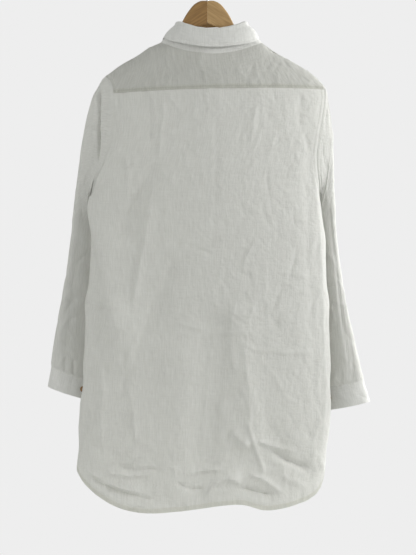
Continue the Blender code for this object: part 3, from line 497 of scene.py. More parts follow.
@dataclass
class DressForm:
    """The form that the cloth hangs in, with the solids' tables and narrower gaps at its seams.

    It gives rows of points on each piece's outer face, in millimetres.
    """

    grain: Grain = CLOTH_GRAIN

    def sheet_middle(self, x: Array, z: Array) -> Array:
        """Return how far forward the sheet half way between back and front lies."""
        return ARM_SWEEP * (x / SWEEP_REACH) ** 2 * np.clip(FORWARD_AT(z), 0, 1)

    def stand_off(self, x: Array, z: Array, most: Array) -> Array:
        """Return how far the cloth stands off the middle, 0 on the shoulders and side edges."""
        drop = np.maximum(RIDGE_AT(x) - z, 0) * RIDGE_SLANT
        left, right = EDGE_LEFT_AT(z), EDGE_RIGHT_AT(z)
        inset = np.maximum((x - left) * (right - x) / (right - left), 0)
        from_ridge = 2 * RIDGE_RADIUS * drop
        from_edge = 2 * EDGE_RADIUS_AT(z) * inset
        both = from_ridge * from_edge / np.sqrt(from_ridge**2 + from_edge**2 + 1e-9)
        return most * np.tanh(np.sqrt(both) / most)

    def fold_height(self, x: Array, z: Array, folds: Sequence[Fold]) -> Array:
        """Return the summed height of the form's soft folds."""
        total = np.zeros(np.broadcast(x, z).shape)
        for fold in folds:
            along = np.array([fold.x1 - fold.x0, fold.z1 - fold.z0])
            length = np.hypot(*along)
            along = along / length
            run = (x - fold.x0) * along[0] + (z - fold.z0) * along[1]
            across = (x - fold.x0) * along[1] - (z - fold.z0) * along[0]
            past = np.maximum(np.abs(run - length / 2) - length / 2, 0)
            total = total + fold.height * np.exp(-((across / fold.width) ** 2) - (past / fold.width) ** 2)
        return total

    def on_back(self, x: Array, z: Array) -> Array:
        """Return points of the back's outer face."""
        most = BACK_DEPTH_AT(z)
        off = self.stand_off(x, z, most)
        lift = self.fold_height(x, z, BACK_FOLDS) * (off / most) ** 2
        y = self.sheet_middle(x, z) - SHEET_GAP / 2 - off - lift
        return np.stack(np.broadcast_arrays(x, y, z), -1)

    def on_front(self, x: Array, z: Array) -> Array:
        """Return points of the front's outer face."""
        most = FRONT_DEPTH_AT(z)
        off = self.stand_off(x, z, most)
        lift = self.fold_height(x, z, FRONT_FOLDS) * (off / most) ** 2
        y = self.sheet_middle(x, z) + SHEET_GAP / 2 + off + lift
        return np.stack(np.broadcast_arrays(x, y, z), -1)

    def edge_steps(self) -> Array:
        """Return distances from a side edge whose steps grow with the square."""
        return EDGE_ZONE * (np.arange(self.grain.edge + 1) / self.grain.edge) ** 2

    def ridge_drops(self, height: Array) -> Array:
        """Return drops below the shoulder line that start alike on every column."""
        share = np.arange(self.grain.yoke + 1)[:, None] / self.grain.yoke
        least = RIGHT_SHOULDER.z - YOKE_SEAM_RIGHT
        return least * share**1.5 + (height - least) * share**self.grain.far_power

    def side_levels(
        self, shoulder: Point, underarm: Point, corner: Point, top: float, with_ridge: bool
    ) -> Array:
        """Return the heights of a panel's rows along one side, down to its hem corner.

        Args:
            shoulder: The end of the shoulder line.
            underarm: Where the sleeve seam meets the side.
            corner: Where the side meets the hem.
            top: The height of the yoke's seam.
            with_ridge: Whether the panel goes up to the shoulder line.

        Returns:
            Falling heights.
        """
        below = np.linspace(top, underarm.z, self.grain.armhole + 1)
        side = np.linspace(underarm.z, corner.z, self.grain.side + 1)
        levels = np.concatenate((below, side[1:]))
        if with_ridge:
            levels = np.concatenate((shoulder.z - self.ridge_drops(shoulder.z - top)[:, 0], levels[1:]))
        return levels

    def side_x(
        self, levels: Array, armhole: Sequence[Point], edge_at: Callable, underarm: Point
    ) -> Array:
        """Return where a panel's side lies: on the armhole, and below it on the edge."""
        above = levels >= underarm.z - 1e-6
        return np.where(above, through(armhole, "z", "x")(levels), edge_at(levels))

    def back_neck_z(self, x: Array) -> Array:
        """Return the height of the neck seam across the back."""
        share = (x - (LEFT_NECK.x + RIGHT_NECK.x) / 2) / ((RIGHT_NECK.x - LEFT_NECK.x) / 2)
        return LEFT_NECK.z - NECK_BACK_DROP * (1 - share**2)

    def front_neck_z(self, x: Array) -> Array:
        """Return the height of the neck seam across the front."""
        share = np.abs(x - (LEFT_NECK.x + RIGHT_NECK.x) / 2) / ((RIGHT_NECK.x - LEFT_NECK.x) / 2)
        share = np.clip((share - NECK_FRONT_FLAT) / (1 - NECK_FRONT_FLAT), 0, 1)
        return LEFT_NECK.z - NECK_FRONT_DROP * (1 - share**NECK_FRONT_ROUNDNESS)

    def front_hem_z(self, x: Array, across: Array) -> Array:
        """Return the front hem's height, which rises from the back's curve to the middle."""
        return HEM_AT(x) + FRONT_HEM_RISE * np.clip(across * 1.4, 0, 1) ** 2

    def even_shares(self, levels: Array) -> Array:
        """Return a panel's shares of height with the rows above the underarm evenly spaced."""
        shares = (levels[0] - levels) / (levels[0] - levels[-1])
        count = self.grain.yoke + self.grain.armhole
        shares[: count + 1] = shares[count] * np.arange(count + 1) / count
        return shares

    def yoke_rows(self) -> Array:
        """Return the yoke's rows from the shoulder and neck line down to its seam."""
        grain = self.grain
        neck = np.sin(np.linspace(-math.pi / 2, math.pi / 2, grain.neck + 1)) / 2 + 0.5
        left_side = np.linspace(LEFT_SHOULDER.x, LEFT_NECK.x, grain.shoulder + 1)[:-1]
        right_side = np.linspace(RIGHT_NECK.x, RIGHT_SHOULDER.x, grain.shoulder + 1)[1:]
        tops = np.concatenate((left_side, lerp(LEFT_NECK.x, RIGHT_NECK.x, neck), right_side))
        in_opening = (tops > LEFT_NECK.x) & (tops < RIGHT_NECK.x)
        top_z = np.where(in_opening, self.back_neck_z(tops), RIDGE_AT(tops))
        across = (tops - tops[0]) / (tops[-1] - tops[0])
        height = top_z - lerp(YOKE_SEAM_LEFT, YOKE_SEAM_RIGHT, across)
        share = np.arange(grain.yoke + 1)[:, None] / grain.yoke
        in_neck = np.clip(np.minimum(tops - LEFT_NECK.x, RIGHT_NECK.x - tops) / EVEN_ZONE, 0, 1)
        z = top_z - lerp(self.ridge_drops(height), height * share, in_neck)
        left, right = BACK_ARMHOLE_LEFT_AT(z[:, :1]), BACK_ARMHOLE_RIGHT_AT(z[:, -1:])
        return self.on_back(lerp(left, right, across), z)

    def back_rows(self) -> Array:
        """Return the back's rows from the yoke seam down to the curved hem."""
        grain = self.grain
        left_top, right_top = YOKE_SEAM_LEFT - SEAM_GAP, YOKE_SEAM_RIGHT - SEAM_GAP
        left_z = self.side_levels(LEFT_SHOULDER, LEFT_UNDERARM, LEFT_CORNER, left_top, False)
        right_z = self.side_levels(RIGHT_SHOULDER, RIGHT_UNDERARM, RIGHT_CORNER, right_top, False)
        left_x = self.side_x(left_z, BACK_ARMHOLE_LEFT, EDGE_LEFT_AT, LEFT_UNDERARM)
        right_x = self.side_x(right_z, BACK_ARMHOLE_RIGHT, EDGE_RIGHT_AT, RIGHT_UNDERARM)
        edge = self.edge_steps()
        inner = np.linspace(EDGE_ZONE, NOMINAL_WIDTH - EDGE_ZONE, grain.middle + 1)[1:-1]
        across = np.concatenate((edge, inner, NOMINAL_WIDTH - edge[::-1])) / NOMINAL_WIDTH
        x = lerp(left_x[:, None], right_x[:, None], across)
        straight = lerp(left_z[:, None], right_z[:, None], across)
        down = (left_z[0] - left_z) / (left_z[0] - left_z[-1])
        pull = np.clip((down - 0.55) / 0.45, 0, 1)[:, None] ** 2
        return self.on_back(x, straight + pull * (HEM_AT(x[-1]) - straight[-1]))

    def front_rows(self, side: int) -> Array:
        """Return a front's rows from the shoulder down, its columns from the side to the middle.

        Args:
            side: -1 for the left front, 1 for the right one.

        Returns:
            The rows of points.
        """
        if side < 0:
            shoulder, underarm, corner, neck = LEFT_SHOULDER, LEFT_UNDERARM, LEFT_CORNER, LEFT_NECK
            armhole, edge_at, seam_z = FRONT_ARMHOLE_LEFT, EDGE_LEFT_AT, YOKE_SEAM_LEFT
        else:
            shoulder, underarm, corner, neck = RIGHT_SHOULDER, RIGHT_UNDERARM, RIGHT_CORNER, RIGHT_NECK
            armhole, edge_at, seam_z = FRONT_ARMHOLE_RIGHT, EDGE_RIGHT_AT, YOKE_SEAM_RIGHT
        levels = self.side_levels(shoulder, underarm, corner, seam_z, True)
        outer = self.side_x(levels, armhole, edge_at, underarm)
        middle = MIDDLE_AT(levels) + (UNDERLAP if side < 0 else UNDERLAP + SEAM_GAP)
        to_neck = abs(neck.x - shoulder.x)
        band_edge = abs(MIDDLE_AT(levels[0]) - BAND_WIDTH / 2 - shoulder.x)
        width = abs(middle[0] - shoulder.x)
        half = self.grain.neck // 2
        to_middle = lerp(to_neck, band_edge if side < 0 else width, (np.arange(1, half + 1) / half) ** 1.4)
        even = np.linspace(EDGE_ZONE, to_neck, self.grain.half_front + 1)[1:]
        steps = np.concatenate((self.edge_steps(), even, to_middle))
        if side < 0:
            steps = np.concatenate((steps, np.linspace(band_edge, width, self.grain.underlap + 1)[1:]))
        tops = shoulder.x - side * steps
        top_z = np.where(steps > to_neck + 1e-6, self.front_neck_z(tops), RIDGE_AT(tops))
        across = steps / width
        bottom_z = self.front_hem_z(lerp(corner.x, middle[-1], across), across)
        down = ((levels[0] - levels) / (levels[0] - levels[-1]))[:, None]
        below_neck = np.clip((steps - to_neck) / EVEN_ZONE, 0, 1)
        z = lerp(top_z, bottom_z, lerp(down, self.even_shares(levels)[:, None], below_neck))
        return self.on_front(lerp(outer[:, None], middle[:, None], across), z)

    def band_rows(self) -> Array:
        """Return the button band's rows on the fronts, moved out by its own thickness."""
        levels = self.side_levels(RIGHT_SHOULDER, RIGHT_UNDERARM, RIGHT_CORNER, YOKE_SEAM_RIGHT, True)
        down = self.even_shares(levels)
        levels = levels[0] - down * (levels[0] - levels[-1])
        top_z = self.front_neck_z(MIDDLE_AT(levels[0]))
        bottom_z = self.front_hem_z(MIDDLE_AT(levels[-1]), 1.0)
        z = lerp(top_z, bottom_z, down)[:, None]
        columns = max(BAND_SEGMENTS, self.grain.underlap)
        x = MIDDLE_AT(levels)[:, None] + np.linspace(-BAND_WIDTH / 2, BAND_WIDTH / 2, columns + 1)
        rows = self.on_front(x, z)
        normals = unit(np.cross(np.gradient(rows, axis=1), np.gradient(rows, axis=0)))
        return rows + normals * (SEAM_GAP + BAND_CLOTH) * np.sign(normals[..., 1:2])


@dataclass
class CollarForm:
    """The neck seam, the stand on it and the leaf that folds over the stand."""

    form: DressForm

    def neck_ring(self) -> Array:
        """Return the neck seam as one ring of points, from the front middle round by the right."""
        grain = self.form.grain
        yoke, left, right = self.form.yoke_rows(), self.form.front_rows(-1), self.form.front_rows(1)
        to_neck = grain.edge + grain.half_front
        back = yoke[0, grain.shoulder + 1 : grain.shoulder + grain.neck]
        right_end = (yoke[0, -grain.shoulder - 1] + right[0, to_neck]) / 2
        left_end = (yoke[0, grain.shoulder] + left[0, to_neck]) / 2
        right_half = right[0, -1:to_neck:-1]
        left_half = left[0, to_neck + 1 : -grain.underlap]
        middle = self.form.on_front(MIDDLE_AT(-200.0), self.form.front_neck_z(MIDDLE_AT(-200.0)))
        return np.concatenate(([middle], right_half, [right_end], back[::-1], [left_end], left_half))

    def stand_tops(self, ring: Array) -> tuple[Array, Array]:
        """Return the stand's top edge above each point of the neck seam, and each one's turn."""
        half = (STAND_TOP_RIGHT.x - STAND_TOP_LEFT.x) / 2
        centre = (STAND_TOP_RIGHT.x + STAND_TOP_LEFT.x) / 2
        share = (ring[:, 0] - (LEFT_NECK.x + RIGHT_NECK.x) / 2) / ((RIGHT_NECK.x - LEFT_NECK.x) / 2)
        share = np.clip(share, -1, 1)
        is_front = ring[:, 1] > self.form.sheet_middle(ring[:, 0], ring[:, 2])
        turn = np.degrees(np.arcsin(-share))
        turn = np.where(is_front, np.where(share > 0, -180, 180) - turn, turn)
        deep = -np.cos(np.radians(turn)) * STAND_TOP_HALF_DEPTH
        low = np.where(is_front, STAND_TOP_FRONT, STAND_TOP_BACK)
        power = np.where(is_front, 2.4, 2.0)
        top_z = STAND_TOP_LEFT.z + (low - STAND_TOP_LEFT.z) * (1 - np.abs(share) ** power)
        return np.stack((centre + half * share, STAND_TOP_FORWARD + deep, top_z), -1), turn

    def stand_rows(self, ring: Array) -> Array:
        """Return the stand's rows from the neck seam up to the fold."""
        tops, _ = self.stand_tops(ring)
        feet = ring + np.array([0, 0, SEAM_GAP])
        feet, tops = (np.concatenate((part[-1:], part)) for part in (feet, tops))
        feet[0, 0] += 2 * SEAM_GAP
        tops[0, 0] += 2 * SEAM_GAP
        return np.stack([lerp(feet, tops, t) for t in np.linspace(0, 1, STAND_SEGMENTS + 1)])

    def leaf_rows(self, ring: Array) -> Array:
        """Return the leaf's rows: over the stand's top edge and down to its free edge."""
        tops, turns = self.stand_tops(ring)
        tops = np.concatenate((tops, tops[:1]))
        turns = np.concatenate(([-180.0], turns[1:], [180.0]))
        tops[0, 0] += LEAF_OPENING / 2
        tops[-1, 0] -= LEAF_OPENING / 2
        turned = np.radians(turns)
        half = (STAND_TOP_RIGHT.x - STAND_TOP_LEFT.x) / 2
        outward = (-np.sin(turned) / half, -np.cos(turned) / STAND_TOP_HALF_DEPTH, 0 * turned)
        outward = unit(np.stack(outward, -1))
        tangent = unit(np.gradient(tops, axis=0))
        across = unit(outward - tangent * (outward * tangent).sum(-1, keepdims=True))
        upward = np.cross(across, tangent)
        upward = upward * np.sign(upward[:, 2:])
        rows = [tops + across * step.x + upward * step.z for step in LEAF_ROLL]
        x, z, lift = (through(LEAF_EDGE, "turn", name)(turns) for name in ("x", "z", "lift"))
        feet = np.concatenate((ring, ring[:1]))
        at_stand = lerp(feet, tops, ((z - feet[:, 2]) / (tops[:, 2] - feet[:, 2]))[:, None])
        at_stand = at_stand + outward * lift[:, None]
        free = np.stack((x, self.form.on_front(x, z)[:, 1] + lift, z), -1)
        edge = lerp(at_stand, free, eased((np.abs(turns) - LEAF_FREE_FROM) / LEAF_FREE_SPREAD)[:, None])
        for t in np.linspace(0, 1, LEAF_SEGMENTS + 1)[1:]:
            bulge = outward * LEAF_BULGE * math.sin(math.pi * t)
            rows.append(lerp(rows[len(LEAF_ROLL) - 1], edge, t) + bulge)
        return np.stack(rows)


@dataclass
class SleeveForm:
    """One sleeve and its cuff, led out of the armhole and down."""

    form: DressForm
    side: int

    def sections(self) -> tuple[Sequence[Section], Sequence[Section]]:
        """Return the tables of the sleeve's and the cuff's rings."""
        return (SLEEVE_LEFT, CUFF_LEFT) if self.side < 0 else (SLEEVE_RIGHT, CUFF_RIGHT)

    def armhole_loop(self) -> tuple[Array, Array]:
        """Return a loop of points down the armhole's back edge and up its front edge.

        Returns:
            The points, and the way that the cloth runs on from each.
        """
        grain = self.form.grain
        yoke, back, front = self.form.yoke_rows(), self.form.back_rows(), self.form.front_rows(self.side)
        if self.side > 0:
            yoke, back = yoke[:, ::-1], back[:, ::-1]
        last = grain.armhole + grain.yoke
        parts = (yoke[1:], back[1 : grain.armhole], front[last - 1 : 0 : -1])
        edge = [part[:, 0] for part in parts]
        inner = [part[:, 2] for part in parts]
        top = (yoke[:1, 0] + front[:1, 0]) / 2
        bottom = (back[grain.armhole, :1] + front[last, :1]) / 2
        loop = np.concatenate((top, edge[0], edge[1], bottom, edge[2]))
        inner_top = (yoke[:1, 2] + front[:1, 2]) / 2
        inner = np.concatenate((inner_top, inner[0], inner[1], bottom, inner[2]))
        tangent = unit(np.roll(loop, -1, 0) - np.roll(loop, 1, 0))
        onward = loop - inner
        onward = unit(onward - tangent * (onward * tangent).sum(-1, keepdims=True) + 1e-9)
        onward[:, 1] = np.clip(onward[:, 1], -ONWARD_MOST_Y, ONWARD_MOST_Y)
        count = len(loop)
        low = np.abs(np.arange(count) - last) / last
        low = np.clip(UNDERARM_START - UNDERARM_FALL * low, 0, 1)[:, None] ** UNDERARM_POWER
        is_front = (np.arange(count) >= last)[:, None]
        aside = np.where(is_front, UNDERARM_WAY_FRONT, UNDERARM_WAY_BACK) * np.array([self.side, 1, 1])
        onward = lerp(onward, unit(aside), low)
        for _ in range(ONWARD_SMOOTHING):
            onward = unit(np.roll(onward, 1, 0) + 2 * onward + np.roll(onward, -1, 0))
        return loop, onward

    def ring(self, section: Section, count: int, back_count: int) -> Array:
        """Return one ring's points, from its outer point round by the back to the front."""
        back = np.linspace(0, SLEEVE_BACK_SHARE, back_count + 1)[:-1]
        front = np.linspace(SLEEVE_BACK_SHARE, 1, count - back_count + 1)[:-1]
        turn = math.radians(section.turn)
        angle = 2 * math.pi * np.concatenate((back, front)) - turn
        along = section.long * np.cos(angle)
        wide = section.short * np.sin(angle)
        out = along * math.cos(turn) - wide * math.sin(turn)
        behind = along * math.sin(turn) + wide * math.cos(turn)
        rise = out * math.tan(math.radians(section.tilt))
        return np.stack((section.x + self.side * out, section.y - behind, section.z + rise), -1)

    def rings(self, sections: Sequence[Section], count: int, back_count: int) -> list[Array]:
        """Return smooth rings between the rows of a table of sections."""
        heights = [row.z for row in sections]
        curves = [through(sections, "z", name) for name in Section._fields]
        rows = []
        for upper, lower in zip(heights[:-1], heights[1:]):
            for z in np.linspace(upper, lower, SLEEVE_SECTION_SEGMENTS + 1)[:-1]:
                rows.append(Section(*(float(curve(z)) for curve in curves)))
        rows.append(sections[-1])
        return [self.ring(row, count, back_count) for row in rows]

    def clear_of_front(self, points: Array, share: float) -> Array:
        """Return points moved forward where they come too near to the front of the body."""
        x, y, z = points[:, 0], points[:, 1], points[:, 2]
        left, right = EDGE_LEFT_AT(z), EDGE_RIGHT_AT(z)
        inside = np.clip(np.minimum(x - left, right - x) / BODY_CLEARANCE + 0.8, 0, 1)
        below = np.clip((CLEARANCE_TOP - z) / CLEARANCE_FADE, 0, 1)
        short = np.maximum(self.form.on_front(x, z)[:, 1] + BODY_CLEARANCE - y, 0)
        behind = y > self.form.sheet_middle(x, z) - SHEET_MARGIN
        return np.stack((x, y + short * inside * below * share * behind, z), -1)

    def rows(self) -> tuple[Array, Array]:
        """Return the sleeve's rings from the armhole to the cuff seam, and the cuff's rings."""
        loop, onward = self.armhole_loop()
        sleeve_table, cuff_table = self.sections()
        back_count = self.form.grain.yoke + self.form.grain.armhole
        count = len(loop)
        low = (loop[0, 2] - loop[:, 2:]) / (loop[0, 2] - loop[:, 2].min())
        first = loop + onward * SLEEVE_GAP
        led = first + onward * SLEEVE_LEAD
        leave = onward * lerp(SLEEVE_REACH_TOP, SLEEVE_REACH_UNDERARM, low)
        head = np.clip(1 - 2 * low, 0, 1)
        leave -= head * (self.side * SLEEVE_HEAD_TUCK[self.side], 0, SLEEVE_TOP_FALL)
        fall = lerp(SLEEVE_FALL_TOP, SLEEVE_FALL_UNDERARM, low)
        lower_rings = self.rings(sleeve_table, count, back_count)
        ring = lower_rings[0]
        run = lower_rings[1] - ring
        arrive = run / -run[:, 2:] * fall
        rows = [first, led]
        for t in np.linspace(0, 1, SLEEVE_DROP_SEGMENTS + 1)[1:]:
            start = led * (1 + 2 * t) * (1 - t) ** 2 + leave * t * (1 - t) ** 2
            row = start + ring * t * t * (3 - 2 * t) - arrive * t * t * (1 - t)
            rows.append(self.clear_of_front(row, min(3 * t, 1)))
        rows += [self.clear_of_front(row, 1) for row in lower_rings[1:]]
        cuff = np.stack(self.rings(cuff_table, count, back_count))
        cuff[:, :, 2] -= SEAM_GAP
        return np.stack(rows), cuff


BACK_CREASES = table(
    Crease,
    (38, 7.5, 0.62, ((-200, -325), (-213, -443), (-198, -524), (-184, -597), (-169, -677), (-173, -746))),
    (30, 6.0, 0.6, ((-209, -648), (-213, -746), (-218, -852), (-213, -924))),
    (20, 9.8, 0.62, ((-214, -443), (-202, -492), (-191, -535), (-184, -590), (-173, -634), (-160, -677))),
    (7, -5.4, -0.3, ((-220, -499), (-207, -546), (-198, -601), (-184, -655), (-174, -706))),
    (15, -9.0, 0.45, ((-96, -365), (-115, -397), (-133, -428), (-151, -470), (-160, -506))),
    (8, 5.1, 0.35, ((-104, -415), (-107, -459), (-116, -517), (-127, -572), (-136, -626))),
    (11, -6.0, 0.4, ((-60, -546), (-82, -590), (-104, -644), (-122, -692), (-136, -732))),
    (4, -0.8, 0.3, ((15, -261), (16, -343), (13, -434), (9, -515), (22, -539))),
    (5, 2.0, -0.3, ((11, -666), (7, -710), (2, -761), (-5, -843), (-15, -924))),
    (9, -2.2, 0.1, ((31, -670), (24, -743), (16, -815), (5, -897))),
    (5, 2.6, 0.2, ((47, -624), (42, -684), (49, -746))),
    (5, 1.9, 0.3, ((67, -695), (73, -761), (78, -841))),
    (7, 5.4, 0.2, ((45, -852), (60, -870), (75, -883))),
    (3.6, 2.8, 0.3, ((71, -833), (82, -870), (104, -932))),
    (4, -4.8, 0.2, ((115, -888), (140, -906), (184, -926))),
    (3.2, 3.0, 0.0, ((93, -873), (124, -884), (162, -893))),
    (4.2, -5.1, 0.3, ((-216, -939), (-176, -961), (-131, -975), (-80, -986))),
    (4.2, 4.2, 0.2, ((-224, -924), (-191, -950), (-144, -964), (-104, -970))),
    (3.4, 3.9, 0.0, ((-182, -932), (-144, -937), (-100, -933))),
    (3.2, -3.0, 0.0, ((-162, -921), (-122, -926), (-85, -924))),
    (4, -4.5, 0.0, ((-53, -950), (-24, -961), (-5, -957))),
    (5, 5.7, 0.2, ((-5, -973), (13, -950), (38, -939), (60, -946))),
    (3.6, 3.6, 0.0, ((-31, -932), (-2, -924), (27, -923))),
    (4.4, -5.1, 0.2, ((53, -957), (85, -964), (118, -973))),
    (4, 4.5, 0.0, ((78, -932), (104, -943), (136, -968))),
    (4, 1.7, 0.0, ((140, -935), (165, -950), (184, -964))),
    (4.4, 3.6, 0.2, ((-198, -741), (-189, -783), (-196, -833), (-189, -892))),
    (5, -3.3, 0.0, ((-216, -706), (-220, -761), (-213, -833), (-220, -888))),
    (4, 3.0, 0.0, ((-140, -788), (-133, -830), (-129, -881))),
    (4, -2.7, 0.2, ((-154, -710), (-151, -761), (-158, -804))),
    (3.2, 1.4, 0.3, ((124, -564), (154, -568), (184, -575))),
    (3.2, 2.0, 0.4, ((67, -695), (89, -708), (144, -713), (198, -713))),
    (3.2, 1.5, 0.2, ((-20, -684), (24, -677), (82, -675))),
    (3.2, -3.0, 0.3, ((-242, -621), (-209, -626), (-167, -637))),
    (3.2, 2.4, 0.2, ((-56, -657), (-27, -664), (-2, -670))),
    (5, -2.0, 0.3, ((169, -234), (173, -259), (169, -285), (180, -310), (189, -339))),
    (4, 2.0, 0.0, ((89, -261), (85, -288), (80, -325))),
    (4, -2.2, 0.0, ((-107, -245), (-104, -285), (-105, -325))),
    (5, 2.4, 0.0, ((-80, -245), (-82, -295), (-89, -354))),
    (4, 1.2, 0.0, ((-20, -245), (-22, -292))),
    (4, -1.2, 0.0, ((115, -245), (111, -285))),
    (5, 2.5, 0.0, ((-154, -343), (-144, -379), (-145, -426))),
    (5, 1.8, 0.3,
     ((204, -288), (198, -361), (204, -443), (211, -546), (216, -670), (218, -797), (209, -892))),
    (7, -1.6, 0.0, ((189, -306), (185, -415), (189, -561), (196, -706), (200, -852))),
    (4.4, 1.6, 0.0, ((202, -481), (193, -517), (189, -557))),
    (4.4, 1.7, 0.0, ((211, -590), (200, -626), (196, -670))),
    (4.4, 1.4, 0.0, ((214, -710), (204, -750), (202, -793))),
    (4.4, 1.6, 0.0, ((207, -833), (194, -877), (196, -924))),
)
FRONT_CREASES = table(
    Crease,
    (11, 3.6, 0.3, ((-150, -330), (-168, -420), (-150, -520), (-128, -600))),
    (9, -2.2, 0, ((-120, -380), (-112, -470), (-120, -560))),
    (12, -4.1, 0.2, ((-95, -600), (-104, -700), (-112, -810), (-120, -930))),
    (9, 2.5, -0.3, ((-70, -640), (-76, -760), (-82, -880))),
    (10, 2.3, 0.2, ((-190, -640), (-182, -740), (-186, -860))),
    (5, -2.3, 0.3, ((-170, -900), (-110, -945), (-60, -962))),
    (3.2, 1.3, 0.3, ((-200, -560), (-150, -572), (-110, -570))),
    (5, 1.9, 0, ((-60, -500), (-30, -530))),
    (8, -2.1, 0, ((-48, -300), (-60, -400), (-56, -470))),
    (11, 3.8, -0.3, ((150, -340), (160, -430), (138, -540), (112, -640))),
    (9, -2.0, 0, ((118, -360), (108, -450), (112, -520))),
    (12, -4.3, -0.2, ((82, -640), (98, -740), (112, -850), (120, -940))),
    (8, 2.7, 0.3, ((58, -660), (66, -780), (70, -900))),
    (9, 2.2, 0, ((175, -660), (170, -780), (180, -880))),
    (6, -2.5, 0.2, ((60, -880), (105, -918), (160, -940))),
    (3.2, 1.3, -0.3, ((40, -470), (90, -486), (130, -484))),
    (8, -1.9, 0, ((44, -300), (56, -390), (50, -470))),
    (3.4, 1.5, 0.3, ((70, -770), (130, -782), (180, -776))),
    (3.4, 1.4, -0.3, ((-180, -790), (-120, -802), (-70, -796))),
)
LEFT_SLEEVE_CREASES = table(
    Crease,
    (5, 3.4, 0, ((-208, -226), (-210, -276), (-216, -352))),
    (2.2, -7.5, 0, ((-201, -219), (-200, -276), (-202, -357))),
    (9, -1.4, 0.3, ((-233, -428), (-245, -541), (-260, -674), (-267, -740))),
    (8, 1.3, 0, ((-220, -437), (-233, -560), (-247, -674))),
    (4, -2.0, 0, ((-273, -611), (-231, -621))),
    (3, -2.0, 0, ((-265, -723), (-267, -763))),
    (3, -2.0, 0, ((-250, -727), (-250, -765))),
    (3, -1.6, 0, ((-281, -716), (-283, -750))),
    (4, 1.6, 0, ((-279, -693), (-245, -716))),
)
RIGHT_SLEEVE_CREASES = table(
    Crease,
    (5, 2.0, -0.3, ((235, -522), (248, -655), (262, -750))),
    (5, -2.1, 0, ((228, -437), (239, -541), (254, -674))),
    (5, -1.8, 0.3, ((247, -484), (258, -617), (275, -750))),
    (4.5, 2.1, 0, ((254, -545), (267, -674), (284, -761))),
    (3, -1.5, 0, ((254, -742), (248, -776))),
    (3, -1.5, 0, ((273, -735), (271, -771))),
    (3, 1.3, 0, ((241, -754), (239, -776))),
    (4, 1.1, 0, ((233, -617), (264, -629))),
)


def line_field(x: Array, z: Array, line: Sequence[tuple[float, float]]) -> tuple[Array, Array]:
    """Return how far points lie aside from a line, with a sign, and their share of its length.

    Args:
        x: The points' first coordinate.
        z: Their second coordinate.
        line: The line's own points.

    Returns:
        The signed distance, and a share that runs below 0 and above 1 past the line's ends.
    """
    knots = np.array(line, float)
    lengths = np.linalg.norm(np.diff(knots, axis=0), axis=-1)
    starts = np.concatenate(([0], np.cumsum(lengths)))
    nearest = np.full(x.shape, np.inf)
    aside = np.zeros(x.shape)
    share = np.zeros(x.shape)
    for i, length in enumerate(lengths):
        way = (knots[i + 1] - knots[i]) / length
        run = (x - knots[i, 0]) * way[0] + (z - knots[i, 1]) * way[1]
        across = (x - knots[i, 0]) * way[1] - (z - knots[i, 1]) * way[0]
        low = -np.inf if i == 0 else 0.0
        high = np.inf if i == len(lengths) - 1 else length
        past = run - np.clip(run, low, high)
        distance = np.hypot(across, past)
        closer = distance < nearest
        nearest = np.where(closer, distance, nearest)
        aside = np.where(closer, np.copysign(distance, across), aside)
        share = np.where(closer, (starts[i] + run) / starts[-1], share)
    return aside, share


CREASE_WIDTH_WAVER = 0.25
CREASE_HEIGHT_WAVER = 0.3
CREASE_POWER = 1.5
CREASE_FADE = 0.22
CREASE_END_SHARE = 0.35


def crease_height(x: Array, z: Array, creases: Sequence[Crease]) -> Array:
    """Return the summed height of creases, each uneven along its length and faded at its ends."""
    total = np.zeros(x.shape)
    for number, crease in enumerate(creases):
        aside, share = line_field(x, z, crease.line)
        waver = np.sin(share * 7.3 + number * 1.7) * np.sin(share * 3.1 + number)
        width = crease.width * (1 + CREASE_WIDTH_WAVER * waver) * (1 - crease.lean * np.sign(aside))
        body = np.exp(-(np.abs(aside) / width) ** CREASE_POWER)
        start = eased(share / CREASE_FADE + CREASE_END_SHARE)
        ends = start * eased((1 - share) / CREASE_FADE + CREASE_END_SHARE)
        total = total + crease.height * (1 + CREASE_HEIGHT_WAVER * waver) * body * ends
    return total


@dataclass(frozen=True)
class Crumple:
    """The small creases of washed linen: short, slightly bent folds at every slant, and hollows."""

    seed: int
    count: int
    long_mm: float = 34.0
    wide_mm: float = 4.0
    high_mm: float = 0.55
    upright: float = 0.6
    hollows: int = 60
    hollow_mm: float = 24.0
    hollow_high_mm: float = 0.9
    hollow_stretch: float = 1.6
    slant_spread: float = 0.45
    size_spread: float = 0.45
    width_spread: float = 0.3
    bend: float = 0.12

    def height(self, x: Array, z: Array) -> Array:
        """Return the crumple's height at each point.

        Args:
            x: The points' place across the cloth, in millimetres.
            z: Their place along it.

        Returns:
            The height off the form, in millimetres.
        """
        draw = np.random.default_rng(self.seed)
        total = np.zeros(x.shape)
        low_x, high_x, low_z, high_z = x.min(), x.max(), z.min(), z.max()
        for i in range(self.count + self.hollows):
            is_fold = i < self.count
            at_x, at_z = draw.uniform(low_x, high_x), draw.uniform(low_z, high_z)
            if draw.random() < self.upright:
                slant = draw.normal(math.pi / 2, self.slant_spread)
            else:
                slant = draw.uniform(0, math.pi)
            size = draw.lognormal(0, self.size_spread)
            long = (self.long_mm if is_fold else self.hollow_mm * self.hollow_stretch) * size
            wide = (self.wide_mm if is_fold else self.hollow_mm) * draw.lognormal(0, self.width_spread)
            high = (self.high_mm if is_fold else self.hollow_high_mm) * draw.normal(0, 1)
            near = (np.abs(x - at_x) < long + 3 * wide) & (np.abs(z - at_z) < long + 3 * wide)
            if not near.any():
                continue
            dx, dz = x[near] - at_x, z[near] - at_z
            run = dx * math.cos(slant) + dz * math.sin(slant)
            bent = self.bend * run**2 / long * draw.normal(0, 1)
            aside = dx * math.sin(slant) - dz * math.cos(slant) + bent
            power = 1.25 if is_fold else 2.0
            total[near] += high * np.exp(-(np.abs(aside) / wide) ** power - (run / long * 1.6) ** 4)
        return total


